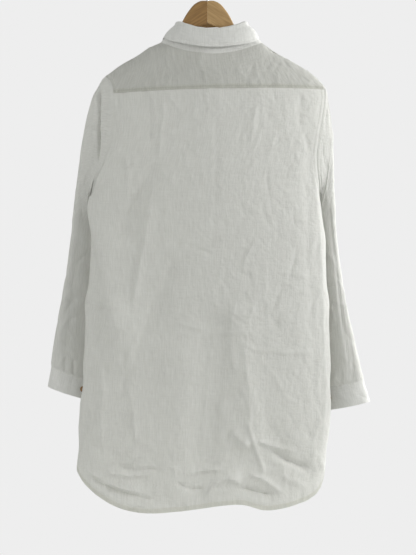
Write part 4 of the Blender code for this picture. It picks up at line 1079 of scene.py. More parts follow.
def surface_normals(rows: Array, inside: Sequence[float] | Array, closed: bool = False) -> Array:
    """Return the outward normals of a grid of points.

    Args:
        rows: Rows of points.
        inside: A point on the wearer's side of the cloth, or one for each row.
        closed: Whether the last point of a row joins the first.

    Returns:
        A unit vector for each point.
    """
    wide = np.concatenate((rows[:, -1:], rows, rows[:, :1]), axis=1) if closed else rows
    across = np.gradient(wide, axis=1)
    if closed:
        across = across[:, 1:-1]
    normals = np.cross(across, np.gradient(rows, axis=0))
    normals = normals / np.maximum(np.linalg.norm(normals, axis=-1, keepdims=True), 1e-9)
    away = ((rows - np.array(inside, float)) * normals).sum(-1).mean()
    return normals if away > 0 else -normals


def piece_object(
    name: str, shape: BMesh, finish: Material
) -> Object:
    """Turn a bmesh into a piece that rides on the body.

    Args:
        name: The piece's name.
        shape: Its mesh, in metres in the part's own frame, freed here.
        finish: Its material.

    Returns:
        The new object.
    """
    mesh = bpy.data.meshes.new(name)
    shape.to_mesh(mesh)
    shape.free()
    mesh.shade_smooth()
    mesh.set_sharp_from_angle(angle=SHARP_ANGLE)
    mesh.materials.append(finish)
    made = bpy.data.objects.new(name, mesh)
    bpy.context.scene.collection.objects.link(made)
    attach(made, BODY)
    LOG.info("%s: %d faces", name, len(mesh.polygons))
    return made


@dataclass
class ClothPiece:
    """One cut piece of cloth: rows of points on its outer face, thickened inwards to a thin shell."""

    name: str
    rows: Array
    inside: Sequence[float]
    closed: bool = False
    thickness: float = 0.55
    edge_thickness: float = 1.1
    doubled_and_shade: Array | None = None

    def make(self, finish: Material) -> Object:
        """Make the shell, with a UV map in metres of cloth, and the share of doubling as an attribute for
        thickness and painted shade.
        """
        rows = np.concatenate((self.rows, self.rows[:, :1]), axis=1) if self.closed else self.rows
        count, width = rows.shape[:2]
        across = far_along(rows.swapaxes(0, 1)).T * MM
        across -= across[:, width // 2 : width // 2 + 1]
        down = far_along(rows) * MM
        doubled_and_shade = np.zeros((count, width)) if self.doubled_and_shade is None else self.doubled_and_shade
        if self.closed and doubled_and_shade.shape[1] < width:
            doubled_and_shade = np.concatenate((doubled_and_shade, doubled_and_shade[:, :1]), axis=1)
        shape = bmesh.new()
        bmesh.ops.create_grid(shape, x_segments=width - 1, y_segments=count - 1, size=1)
        # the share of doubling thickens the wall and is painted darker on the linen as shade
        layer = shape.verts.layers.float.new("doubled_and_shade")
        weights = shape.verts.layers.deform.verify()
        places = {}
        for vertex in shape.verts:
            column = round((vertex.co.x + 1) / 2 * (width - 1))
            row = round((vertex.co.y + 1) / 2 * (count - 1))
            places[vertex] = (across[row, column], -down[row, column])
            vertex.co = Vector(rows[row, column]) * MM
            vertex[layer] = doubled_and_shade[row, column]
            vertex[weights][0] = doubled_and_shade[row, column]
        maps = shape.loops.layers.uv.new("cloth")
        for face in shape.faces:
            for corner in face.loops:
                corner[maps].uv = places[corner.vert]
        if self.closed:
            bmesh.ops.remove_doubles(shape, verts=shape.verts, dist=1e-7)
        centre = Vector(self.inside) * MM
        shape.normal_update()
        if sum((face.calc_center_median() - centre).dot(face.normal) for face in shape.faces) < 0:
            bmesh.ops.reverse_faces(shape, faces=shape.faces)
        made = piece_object(self.name, shape, finish)
        made.vertex_groups.new(name="edge")
        wall = made.modifiers.new("cloth", "SOLIDIFY")
        wall.thickness = self.edge_thickness * MM
        wall.offset = -1
        wall.vertex_group = "edge"
        wall.thickness_vertex_group = self.thickness / self.edge_thickness
        evaluated = made.evaluated_get(bpy.context.evaluated_depsgraph_get())
        made.data = bpy.data.meshes.new_from_object(evaluated)
        made.modifiers.clear()
        made.data.set_sharp_from_angle(angle=SHARP_ANGLE)
        return made


def linear(code: str) -> tuple[float, float, float, float]:
    """Return an sRGB hex colour as linear red, green, blue and alpha."""
    parts = [int(code[i : i + 2], 16) / 255 for i in (1, 3, 5)]
    straight = [c / 12.92 if c <= 0.04045 else ((c + 0.055) / 1.055) ** 2.4 for c in parts]
    return (*straight, 1.0)


def add_node(
    tree: NodeTree, kind: str, inputs: dict | None = None, **settings: object
) -> Node:
    """Add one node with its settings and what feeds it.

    Args:
        tree: The node tree.
        kind: The node's type.
        inputs: Values or output sockets by the input's name or number.
        settings: The node's own properties.

    Returns:
        The node.
    """
    node = tree.nodes.new(kind)
    for key, value in settings.items():
        setattr(node, key, value)
    for key, value in (inputs or {}).items():
        if isinstance(value, NodeSocket):
            tree.links.new(value, node.inputs[key])
        else:
            node.inputs[key].default_value = value
    return node


def mixed_colour(
    tree: NodeTree,
    share: NodeSocket,
    first: tuple | NodeSocket,
    second: tuple,
    blend: str = "MIX",
) -> NodeSocket:
    """Return the colour that a share gives between two, or one that is multiplied by another."""
    inputs = {0: share, 6: first, 7: second}
    node = add_node(tree, "ShaderNodeMix", inputs, data_type="RGBA", blend_type=blend)
    return node.outputs[2]


def new_material(name: str) -> tuple[Material, NodeTree, Node]:
    """Return a new material, its node tree, emptied, and its output node."""
    made = bpy.data.materials.new(name)
    made.use_nodes = True
    made.node_tree.nodes.clear()
    return made, made.node_tree, made.node_tree.nodes.new("ShaderNodeOutputMaterial")


@dataclass(frozen=True)
class WovenLinen:
    """Linen yarn, wet spun and woven plain, then washed: matt, slubby and slightly sheer.

    The eye gets uneven threads in both directions and light that comes through. Threads of such
    cloth are about 0.6 mm apart, too fine to show here, so the weave is drawn at thread_mm.
    """

    name: str
    pale: str
    deep: str
    # the colour that doubled places are multiplied by: painted shade for the light that passes two layers
    # less than one
    doubled_and_shade: str
    sheer: float
    thread_mm: float = 1.3
    slub_mm: float = 1.9
    slub_long_mm: float = 30.0
    crumple_per_m: float = 120.0
    crumple: float = 0.65
    crumple_deep_m: float = 0.0024
    crush_per_m: float = 38.0
    crush: float = 0.6
    crush_deep_m: float = 0.0022
    patch_per_m: float = 11.0
    slub_deep_m: float = 0.0006
    thread_deep_m: float = 0.00025
    roughness: float = 0.88
    sheen: float = 0.12

    def make(self) -> Material:
        """Make the material."""
        made, tree, output = new_material(self.name)
        uv = add_node(tree, "ShaderNodeUVMap", uv_map="cloth").outputs[0]
        fine, coarse = 1 / (self.slub_mm * MM), 1 / (self.slub_long_mm * MM)
        slubs = []
        for scale in ((fine, coarse, 1), (coarse, fine, 1)):
            place = add_node(tree, "ShaderNodeMapping", {"Vector": uv, "Scale": scale}).outputs[0]
            noise = {"Vector": place, "Scale": 1.0, "Detail": 3.0, "Roughness": 0.6}
            slubs.append(add_node(tree, "ShaderNodeTexNoise", noise).outputs[0])
        thread = 1 / (self.thread_mm * MM)
        threads = {"Vector": uv, "Scale": (thread, thread, 1)}
        place = add_node(tree, "ShaderNodeMapping", threads).outputs[0]
        weave = []
        for way in ("X", "Y"):
            bands = {"Vector": place, "Scale": 1 / math.tau * 2, "Distortion": 1.2, "Detail": 1.0}
            weave.append(add_node(tree, "ShaderNodeTexWave", bands, bands_direction=way).outputs["Fac"])
        weft = {0: slubs[1], 1: 0.4, 2: slubs[0]}
        cloth = add_node(tree, "ShaderNodeMath", weft, operation="MULTIPLY_ADD").outputs[0]
        crossed = {0: weave[0], 1: weave[1]}
        threads = add_node(tree, "ShaderNodeMath", crossed, operation="MULTIPLY").outputs[0]
        limits = {"Value": cloth, "From Min": 0.45, "From Max": 0.95}
        share = add_node(tree, "ShaderNodeMapRange", limits).outputs[0]
        colour = mixed_colour(tree, share, linear(self.deep), linear(self.pale))
        # doubled places are darkened here: painted shade, not a colour of the cloth
        layers = add_node(tree, "ShaderNodeAttribute", attribute_name="doubled_and_shade").outputs["Fac"]
        colour = mixed_colour(tree, layers, colour, linear(self.doubled_and_shade), "MULTIPLY")
        crumpled = {"Vector": uv, "Scale": self.crumple_per_m, "Detail": 4.0, "Roughness": 0.6}
        crumple = add_node(tree, "ShaderNodeTexNoise", crumpled).outputs[0]
        heights = {"Height": crumple, "Strength": self.crumple, "Distance": self.crumple_deep_m}
        rough = add_node(tree, "ShaderNodeBump", heights).outputs[0]
        crushed = {"Vector": uv, "Scale": self.crush_per_m, "Detail": 2.0, "Distortion": 0.9}
        crushed["Roughness"] = 0.5
        sharp = add_node(tree, "ShaderNodeTexNoise", crushed, noise_type="RIDGED_MULTIFRACTAL").outputs[0]
        patches = {"Vector": uv, "Scale": self.patch_per_m, "Detail": 1.0}
        patches = add_node(tree, "ShaderNodeTexNoise", patches).outputs[0]
        limits = {"Value": patches, "From Min": 0.42, "From Max": 0.66, "To Min": 0.25}
        patches = add_node(tree, "ShaderNodeMapRange", limits).outputs[0]
        sharp = add_node(tree, "ShaderNodeMath", {0: sharp, 1: patches}, operation="MULTIPLY").outputs[0]
        heights = {"Height": sharp, "Strength": self.crush, "Distance": self.crush_deep_m, "Normal": rough}
        rough = add_node(tree, "ShaderNodeBump", heights).outputs[0]
        heights = {"Height": cloth, "Strength": 0.45, "Distance": self.slub_deep_m, "Normal": rough}
        slubbed = add_node(tree, "ShaderNodeBump", heights).outputs[0]
        heights = {"Height": threads, "Strength": 0.35, "Distance": self.thread_deep_m, "Normal": slubbed}
        normal = add_node(tree, "ShaderNodeBump", heights).outputs[0]
        surface = {
            "Base Color": colour,
            "Roughness": self.roughness,
            "Specular IOR Level": 0.3,
            "Sheen Weight": self.sheen,
            "Sheen Roughness": 0.6,
            "Normal": normal,
        }
        face = add_node(tree, "ShaderNodeBsdfPrincipled", surface).outputs[0]
        lit = {"Color": colour, "Normal": normal}
        through_cloth = add_node(tree, "ShaderNodeBsdfTranslucent", lit).outputs[0]
        both = add_node(tree, "ShaderNodeMixShader", {0: self.sheer, 1: face, 2: through_cloth}).outputs[0]
        tree.links.new(both, output.inputs[0])
        return made


@dataclass(frozen=True)
class CowHorn:
    """Cow horn, sawn, turned and polished: a brown body with paler streaks under a soft gloss."""

    name: str = "turned_cow_horn"
    dark: str = "#6E4A26"
    pale: str = "#B98F58"
    streak_mm: float = 1.6
    roughness: float = 0.32

    def make(self) -> Material:
        """Make the material."""
        made, tree, output = new_material(self.name)
        place = add_node(tree, "ShaderNodeTexCoord").outputs["Object"]
        step = 1 / (self.streak_mm * MM)
        stretched = {"Vector": place, "Scale": (step, step, step * 0.3), "Rotation": (0.3, 0.5, 0.2)}
        place = add_node(tree, "ShaderNodeMapping", stretched).outputs[0]
        streaks = {"Vector": place, "Scale": 1.0, "Detail": 3.0, "Distortion": 0.8}
        share = add_node(tree, "ShaderNodeTexNoise", streaks).outputs[0]
        limits = {"Value": share, "From Min": 0.38, "From Max": 0.66}
        share = add_node(tree, "ShaderNodeMapRange", limits).outputs[0]
        colour = mixed_colour(tree, share, linear(self.dark), linear(self.pale))
        heights = {"Height": share, "Strength": 0.2, "Distance": 0.0001}
        bump = add_node(tree, "ShaderNodeBump", heights).outputs[0]
        surface = {
            "Base Color": colour,
            "Roughness": self.roughness,
            "IOR": 1.54,
            "Coat Weight": 0.25,
            "Coat Roughness": 0.2,
            "Normal": bump,
        }
        face = add_node(tree, "ShaderNodeBsdfPrincipled", surface).outputs[0]
        tree.links.new(face, output.inputs[0])
        return made


@dataclass(frozen=True)
class LacqueredWood:
    """Hardwood, cut to shape, stained and lacquered: long grain down the arm under a thin gloss."""

    name: str
    pale: str
    dark: str
    slant: float
    grain_mm: float = 3.2
    roughness: float = 0.42

    def make(self) -> Material:
        """Make the material."""
        made, tree, output = new_material(self.name)
        place = add_node(tree, "ShaderNodeTexCoord").outputs["Object"]
        turned = {"Vector": place, "Angle": self.slant}
        turned = add_node(tree, "ShaderNodeVectorRotate", turned, rotation_type="Y_AXIS").outputs[0]
        step = 1 / (self.grain_mm * MM)
        along = {"Vector": turned, "Scale": (step * 0.07, step, step)}
        stretched = add_node(tree, "ShaderNodeMapping", along).outputs[0]
        grain = {"Vector": stretched, "Scale": 1.0, "Detail": 5.0, "Roughness": 0.62, "Distortion": 0.6}
        grain = add_node(tree, "ShaderNodeTexNoise", grain).outputs[0]
        limits = {"Value": grain, "From Min": 0.32, "From Max": 0.7}
        share = add_node(tree, "ShaderNodeMapRange", limits).outputs[0]
        colour = mixed_colour(tree, share, linear(self.dark), linear(self.pale))
        heights = {"Height": grain, "Strength": 0.25, "Distance": 0.0003}
        bump = add_node(tree, "ShaderNodeBump", heights).outputs[0]
        surface = {
            "Base Color": colour,
            "Roughness": self.roughness,
            "IOR": 1.5,
            "Coat Weight": 0.2,
            "Coat Roughness": 0.3,
            "Normal": bump,
        }
        face = add_node(tree, "ShaderNodeBsdfPrincipled", surface).outputs[0]
        tree.links.new(face, output.inputs[0])
        return made


@dataclass(frozen=True)
class BrushedSteel:
    """Steel wire, drawn and nickel plated: a cool grey with fine lengthwise drawing marks."""

    name: str = "plated_steel_wire"
    colour: str = "#B9BBBD"
    marks_mm: float = 0.5
    roughness: float = 0.28

    def make(self) -> Material:
        """Make the material."""
        made, tree, output = new_material(self.name)
        place = add_node(tree, "ShaderNodeTexCoord").outputs["Object"]
        step = 1 / (self.marks_mm * MM)
        stretched = {"Vector": place, "Scale": (step, step, step * 0.2)}
        place = add_node(tree, "ShaderNodeMapping", stretched).outputs[0]
        noise = {"Vector": place, "Scale": 1.0, "Detail": 2.0}
        marks = add_node(tree, "ShaderNodeTexNoise", noise).outputs[0]
        limits = {"Value": marks, "To Min": self.roughness - 0.08, "To Max": self.roughness + 0.12}
        rough = add_node(tree, "ShaderNodeMapRange", limits).outputs[0]
        heights = {"Height": marks, "Strength": 0.15, "Distance": 0.0001}
        bump = add_node(tree, "ShaderNodeBump", heights).outputs[0]
        surface = {"Base Color": linear(self.colour), "Metallic": 1.0, "Roughness": rough, "Normal": bump}
        face = add_node(tree, "ShaderNodeBsdfPrincipled", surface).outputs[0]
        tree.links.new(face, output.inputs[0])
        return made


@dataclass(frozen=True)
class SewingThread:
    """Cotton sewing thread, two strands twisted: matt, a little whiter than the cloth."""

    name: str = "twisted_cotton_thread"
    pale: str = "#F3F2EE"
    deep: str = "#D9D7CF"
    twist_mm: float = 0.7
    roughness: float = 0.8

    def make(self) -> Material:
        """Make the material."""
        made, tree, output = new_material(self.name)
        place = add_node(tree, "ShaderNodeTexCoord").outputs["Object"]
        twist = {"Vector": place, "Scale": 1 / (self.twist_mm * MM) / math.tau, "Distortion": 0.5}
        share = add_node(tree, "ShaderNodeTexWave", twist, bands_direction="DIAGONAL").outputs["Fac"]
        colour = mixed_colour(tree, share, linear(self.deep), linear(self.pale))
        heights = {"Height": share, "Strength": 0.3, "Distance": 0.0001}
        bump = add_node(tree, "ShaderNodeBump", heights).outputs[0]
        surface = {"Base Color": colour, "Roughness": self.roughness, "Normal": bump}
        face = add_node(tree, "ShaderNodeBsdfPrincipled", surface).outputs[0]
        tree.links.new(face, output.inputs[0])
        return made


@dataclass(frozen=True)
class PaleFloor:
    """A matt painted floor, rolled: nearly white with a faint mottle."""

    name: str = "matt_floor_paint"
    pale: str = "#ECECEA"
    deep: str = "#E4E4E1"

    def make(self) -> Material:
        """Make the material."""
        made, tree, output = new_material(self.name)
        place = add_node(tree, "ShaderNodeTexCoord").outputs["Object"]
        mottle = {"Vector": place, "Scale": 9.0, "Detail": 3.0}
        share = add_node(tree, "ShaderNodeTexNoise", mottle).outputs[0]
        colour = mixed_colour(tree, share, linear(self.deep), linear(self.pale))
        face = add_node(tree, "ShaderNodeBsdfPrincipled", {"Base Color": colour, "Roughness": 0.9}).outputs[0]
        tree.links.new(face, output.inputs[0])
        return made


@dataclass(frozen=True)
class Finishes:
    """Every material of the dress, made once."""

    single: Material
    double: Material
    fused: Material
    thread: Material
    horn: Material
    wood_left_shaded: Material
    wood_right_lit: Material
    wood_facet_shaded: Material
    steel: Material


class PanelEdge(Enum):
    """An edge of a grid of points: its first or last row, or its first or last column."""

    TOP = "top"
    BOTTOM = "bottom"
    FIRST = "first"
    LAST = "last"


def from_edge(rows: Array, edge: PanelEdge) -> Array:
    """Return a grid turned so that its rows start at an edge and go away from it."""
    if edge in (PanelEdge.FIRST, PanelEdge.LAST):
        rows = rows.swapaxes(0, 1)
    return rows[::-1] if edge in (PanelEdge.BOTTOM, PanelEdge.LAST) else rows


def turned_back(rows: Array, edge: PanelEdge) -> Array:
    """Return a grid that starts at an edge turned back to its own order."""
    if edge in (PanelEdge.BOTTOM, PanelEdge.LAST):
        rows = rows[::-1]
    return rows.swapaxes(0, 1) if edge in (PanelEdge.FIRST, PanelEdge.LAST) else rows


def edge_distance(rows: Array, edge: PanelEdge) -> Array:
    """Return each point's distance from an edge along its row or column, in the grid's own order."""
    return turned_back(far_along(from_edge(rows, edge)), edge)


def dense_at(rows: Array, edge: PanelEdge, distances: Sequence[float]) -> Array:
    """Return a grid with its first stretch from an edge drawn again at set distances from it.

    Args:
        rows: The grid.
        edge: The edge.
        distances: Rising distances in millimetres, the first one 0.

    Returns:
        The grid in its own order.
    """
    turned = from_edge(rows, edge)
    far = far_along(turned)
    keep = int(np.argmax(far.min(axis=1) > distances[-1] + 1.0))
    fresh = np.empty((len(distances), turned.shape[1], 3))
    for column in range(turned.shape[1]):
        for axis in range(3):
            fresh[:, column, axis] = np.interp(distances, far[:, column], turned[:, column, axis])
    turned = np.concatenate((fresh, turned[keep:]))
    return turned_back(turned, edge)


def split_rows(rows: Array, edge: PanelEdge, count: int, parts: int) -> Array:
    """Return a grid whose first rows from an edge are divided into finer ones.

    Args:
        rows: The grid.
        edge: The edge.
        count: How many of its steps are divided.
        parts: Into how many steps each.

    Returns:
        The grid in its own order.
    """
    turned = from_edge(rows, edge)
    at = np.concatenate((np.arange(count * parts) / parts, np.arange(count, len(turned))))
    low = np.minimum(at.astype(int), len(turned) - 2)
    turned = lerp(turned[low], turned[low + 1], (at - low)[:, None, None])
    return turned_back(turned, edge)


FOLD_STEPS = (0.0, 0.5, 1.4, 2.6, 4.2, 5.8, 7.2, 8.0, 8.7, 9.4, 10.4, 12.0, 14.0)


@dataclass(frozen=True)
class Stitching:
    """A row of lockstitches, each a short rounded bar of thread that lies on the cloth."""

    pitch_mm: float = 3.2
    long_mm: float = 1.25
    wide_mm: float = 0.3
    high_mm: float = 0.24
    raised_share: float = 0.35

    def line(self, rows: Array, normals: Array, edge: PanelEdge, distance: float) -> tuple[Array, Array]:
        """Return the places and normals of a line at a distance from an edge of a piece."""
        places, ways = from_edge(rows, edge), from_edge(normals, edge)
        far = far_along(places)
        found, facing = [], []
        for column in range(places.shape[1]):
            found.append([np.interp(distance, far[:, column], places[:, column, i]) for i in range(3)])
            facing.append([np.interp(distance, far[:, column], ways[:, column, i]) for i in range(3)])
        return np.array(found), np.array(facing)

    def sew(
        self, name: str, lines: Sequence[tuple[Array, Array]], finish: Material
    ) -> Object:
        """Sew stitches along lines.

        Args:
            name: The piece's name.
            lines: Places and normals of each line, in millimetres.
            finish: The thread.

        Returns:
            One piece with all the stitches.
        """
        shape = bmesh.new()
        for places, normals in lines:
            run = far_along(places)
            count = int(run[-1] / self.pitch_mm)
            for at in (np.arange(count) + 0.5) * run[-1] / max(count, 1):
                place, near, facing = (
                    np.array([np.interp(x, run, values[:, i]) for i in range(3)])
                    for values, x in ((places, at), (places, at + 0.5), (normals, at))
                )
                up = Vector(facing).normalized()
                along = Vector(near - place)
                along = (along - up * along.dot(up)).normalized()
                aside = up.cross(along)
                turn = Matrix((along, aside, up)).transposed().to_4x4()
                size = Matrix.Diagonal((self.long_mm * MM, self.wide_mm * MM, self.high_mm * MM, 1))
                centre = Vector(place + np.array(up) * self.high_mm * self.raised_share) * MM
                matrix = Matrix.Translation(centre) @ turn @ size
                bmesh.ops.create_uvsphere(shape, u_segments=6, v_segments=4, radius=1, matrix=matrix)
        return piece_object(name, shape, finish)


def tube(
    shape: BMesh, path: Array, radius: Array, across: Array, sides: int, closed: bool
) -> None:
    """Add a round tube along a path to a mesh.

    Args:
        shape: The mesh.
        path: The points that it follows, in millimetres.
        radius: Its radius at each point.
        across: A direction that is never along the path.
        sides: How many sides it has.
        closed: Whether the path's end joins its start.
    """
    if closed:
        ring = np.concatenate((path[-1:], path, path[:1]))
        tangent = unit(ring[2:] - ring[:-2])
        path = np.concatenate((path, path[:1]))
        tangent = np.concatenate((tangent, tangent[:1]))
        radius = np.full(len(path), radius[0])
    else:
        tangent = unit(np.gradient(path, axis=0))
    first = unit(across - tangent * (tangent * across).sum(-1, keepdims=True))
    second = np.cross(tangent, first)
    made = bmesh.ops.create_grid(shape, x_segments=sides, y_segments=len(path) - 1, size=1)
    verts = made["verts"]
    for vertex in verts:
        angle = (vertex.co.x + 1) * math.pi
        row = round((vertex.co.y + 1) / 2 * (len(path) - 1))
        out = first[row] * math.cos(angle) + second[row] * math.sin(angle)
        vertex.co = Vector(path[row] + out * radius[row]) * MM
    bmesh.ops.remove_doubles(shape, verts=verts, dist=1e-8)
    verts = [vertex for vertex in verts if vertex.is_valid]
    edges = {edge for vertex in verts for edge in vertex.link_edges if edge.is_boundary}
    if edges:
        bmesh.ops.holes_fill(shape, edges=list(edges), sides=sides)
    faces = {face for vertex in verts for face in vertex.link_faces}
    bmesh.ops.recalc_face_normals(shape, faces=list(faces))


@dataclass
class Body:
    """The back, its yoke, the two fronts and the button band."""

    form: DressForm
    stitching: Stitching
    finishes: Finishes
    inside: tuple[float, float, float] = (0.0, 0.0, -600.0)
    hem_mm: float = 8.7
    hem_proud_mm: float = 0.35
    seam_mm: float = 7.6
    seam_proud_mm: float = 0.2
    armhole_mm: float = 7.0
    edge_waver_mm: float = 1.6
    edge_reach_mm: float = 14.0
    bulge_mm: float = 4.5
    seam_ridge_mm: float = 0.7
    seam_ditch_mm: float = 0.5
    stitch_dip_mm: float = 0.2
    sewn_share: float = 0.12
    underarm_z: float = -425.0
    surfaces: dict[str, tuple[Array, Array]] = field(default_factory=dict)

    def waver(self, rows: Array) -> Array:
        """Return rows whose side edges waver as creased cloth does, alike on back and front.

        Under the left armhole they also bulge a little towards the sleeve.
        """
        x, z = rows[..., 0], rows[..., 2]
        wave = np.sin(z / 21) * np.sin(z / 67 + 1) + 0.7 * np.sin(z / 12.3 + 2) * np.sin(z / 43)
        below = eased((self.underarm_z - z) / 60)
        near_left = np.exp(-np.maximum(x - EDGE_LEFT_AT(z), 0) / self.edge_reach_mm)
        near_right = np.exp(-np.maximum(EDGE_RIGHT_AT(z) - x, 0) / self.edge_reach_mm)
        moved = rows.copy()
        moved[..., 0] += self.edge_waver_mm * wave * below * (near_left - 0.8 * near_right)
        bulge = eased((-412 - z) / 24) * eased((z + 510) / 50)
        moved[..., 0] -= self.bulge_mm * bulge * near_left
        return moved

    def dress(
        self,
        name: str,
        rows: Array,
        creases: Sequence[Crease],
        crumple: Crumple,
        folded: dict[PanelEdge, tuple[float, float, float]],
        quiet: float = 16.0,
        strength: Array | float = 1.0,
        extra: Array | float = 0.0,
    ) -> tuple[Array, Array]:
        """Crease a panel and raise its folded edges.

        Args:
            name: The panel's name.
            rows: Its rows on the form.
            creases: Its listed creases.
            crumple: Its small creases.
            folded: For each edge that is folded over, how wide, how proud and how soft the fold is.
            quiet: How far from a sewn side the creases fade.
            strength: How strong the creases are at each point.
            extra: Further height at each point.

        Returns:
            The creased rows and the share of doubling at each point, which also paints shade on the linen.
        """
        normals = surface_normals(rows, self.inside)
        x, z = rows[..., 0], rows[..., 2]
        height = (crease_height(x, z, creases) + crumple.height(x, z)) * strength + extra
        aside = np.minimum(edge_distance(rows, PanelEdge.FIRST), edge_distance(rows, PanelEdge.LAST))
        height = height * lerp(self.sewn_share, 1.0, eased(aside / quiet))
        seam = self.seam_ridge_mm * (1 - eased((aside - self.armhole_mm + 1.2) / 1.6))
        seam = seam - self.seam_ditch_mm * np.exp(-(((aside - self.armhole_mm - 0.4) / 1.3) ** 2))
        height = height + seam * eased((z - self.underarm_z) / 30) * (name != "band")
        # the share of doubling also darkens the linen as painted shade
        doubled_and_shade = np.zeros(x.shape)
        for edge, (width, proud, soft) in folded.items():
            far = edge_distance(rows, edge)
            on_fold = 1 - eased((far - width + soft / 2) / soft)
            doubled_and_shade = np.maximum(doubled_and_shade, on_fold)
            dip = self.stitch_dip_mm / soft * np.exp(-(((far - width) / 1.1) ** 2))
            height = height + (proud * on_fold - dip)
        rows = rows + normals * height[..., None]
        self.surfaces[name] = (rows, surface_normals(rows, self.inside))
        return rows, doubled_and_shade

    def build_back(self) -> Object:
        """Make the back, from the yoke seam to the turned hem."""
        rows = self.waver(self.form.back_rows())
        rows = dense_at(rows, PanelEdge.BOTTOM, FOLD_STEPS)
        low = eased((-700 - rows[..., 2]) / 200)
        calm = lerp(0.9, 1.3, low)
        crumple = Crumple(11, 1400, long_mm=28, wide_mm=2.6, high_mm=0.6, hollows=90, hollow_high_mm=0.5)
        folded = {PanelEdge.BOTTOM: (self.hem_mm, self.hem_proud_mm, 1.2)}
        hem = Crumple(17, 620, long_mm=26, wide_mm=2.4, high_mm=1.3, upright=0.3, hollows=0)
        extra = hem.height(rows[..., 0], rows[..., 2]) * eased((-830 - rows[..., 2]) / 110)
        rows, doubled_and_shade = self.dress("back", rows, BACK_CREASES, crumple, folded, strength=calm, extra=extra)
        piece = ClothPiece("linen_back", rows, self.inside, doubled_and_shade=doubled_and_shade).make(self.finishes.single)
        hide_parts("back_panel")
        return piece

    def build_yoke(self) -> Object:
        """Make the yoke, whose lower edge lies over the back with the seam allowance under it."""
        rows = split_rows(self.form.yoke_rows(), PanelEdge.BOTTOM, 4, 3)
        crumple = Crumple(23, 260, long_mm=26, wide_mm=3, high_mm=0.6, hollows=30, hollow_high_mm=0.7)
        folded = {PanelEdge.BOTTOM: (self.seam_mm, self.seam_proud_mm, 4.0)}
        rows, doubled_and_shade = self.dress("yoke", rows, (), crumple, folded)
        # the yoke takes the darker copy of the linen: painted shade for the light that two layers let through
        # less
        piece = ClothPiece("linen_yoke", rows, self.inside, doubled_and_shade=doubled_and_shade).make(self.finishes.double)
        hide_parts("back_yoke")
        return piece

    def build_front(self, side: int) -> Object:
        """Make one front, from the shoulder to the turned hem."""
        word = "left" if side < 0 else "right"
        rows = self.waver(self.form.front_rows(side))
        rows = dense_at(rows, PanelEdge.BOTTOM, FOLD_STEPS)
        seed = 37 + side
        crumple = Crumple(seed, 700, long_mm=28, wide_mm=2.6, high_mm=0.6, hollows=45, hollow_high_mm=0.5)
        folded = {PanelEdge.BOTTOM: (self.hem_mm, self.hem_proud_mm, 1.2)}
        creases = tuple(c for c in FRONT_CREASES if c.line[0][0] * side > 0)
        calm = lerp(0.25, 1.0, eased((-170 - rows[..., 2]) / 90))
        rows, doubled_and_shade = self.dress(f"front_{word}", rows, creases, crumple, folded, strength=calm)
        made = ClothPiece(f"linen_front_{word}", rows, self.inside, doubled_and_shade=doubled_and_shade)
        piece = made.make(self.finishes.single)
        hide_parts(f"front_{word}")
        return piece

    def build_band(self) -> Object:
        """Make the button band on the right front's edge."""
        rows = self.form.band_rows()
        crumple = Crumple(51, 60, long_mm=16, high_mm=0.25, hollows=10, hollow_high_mm=0.3)
        rows, _ = self.dress("band", rows, (), crumple, {}, quiet=6.0)
        made = ClothPiece("linen_button_band", rows, self.inside, thickness=1.5, edge_thickness=1.8)
        piece = made.make(self.finishes.fused)
        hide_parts("button_band")
        return piece

    def build(self) -> list[Object]:
        """Make the body's cloth and its stitching."""
        back, yoke = self.build_back(), self.build_yoke()
        left, right = self.build_front(-1), self.build_front(1)
        band = self.build_band()
        line, thread = self.stitching.line, self.finishes.thread
        surface = self.surfaces
        hems = {
            name: self.stitching.sew(
                f"hem_stitches_{name}", [line(*surface[name], PanelEdge.BOTTOM, self.hem_mm - 1.2)], thread
            )
            for name in ("back", "front_left", "front_right")
        }
        yoke_lines = [line(*surface["yoke"], PanelEdge.BOTTOM, far) for far in (1.6, self.seam_mm - 1.0)]
        yoke_sides = [
            line(*surface["yoke"], edge, self.armhole_mm - 1) for edge in (PanelEdge.FIRST, PanelEdge.LAST)
        ]
        yoke_sewn = self.stitching.sew("yoke_stitches", yoke_lines + yoke_sides, thread)
        band_lines = [line(*surface["band"], edge, 2.6) for edge in (PanelEdge.FIRST, PanelEdge.LAST)]
        band_sewn = self.stitching.sew("band_stitches", band_lines, thread)
        return [back, yoke, left, right, band]


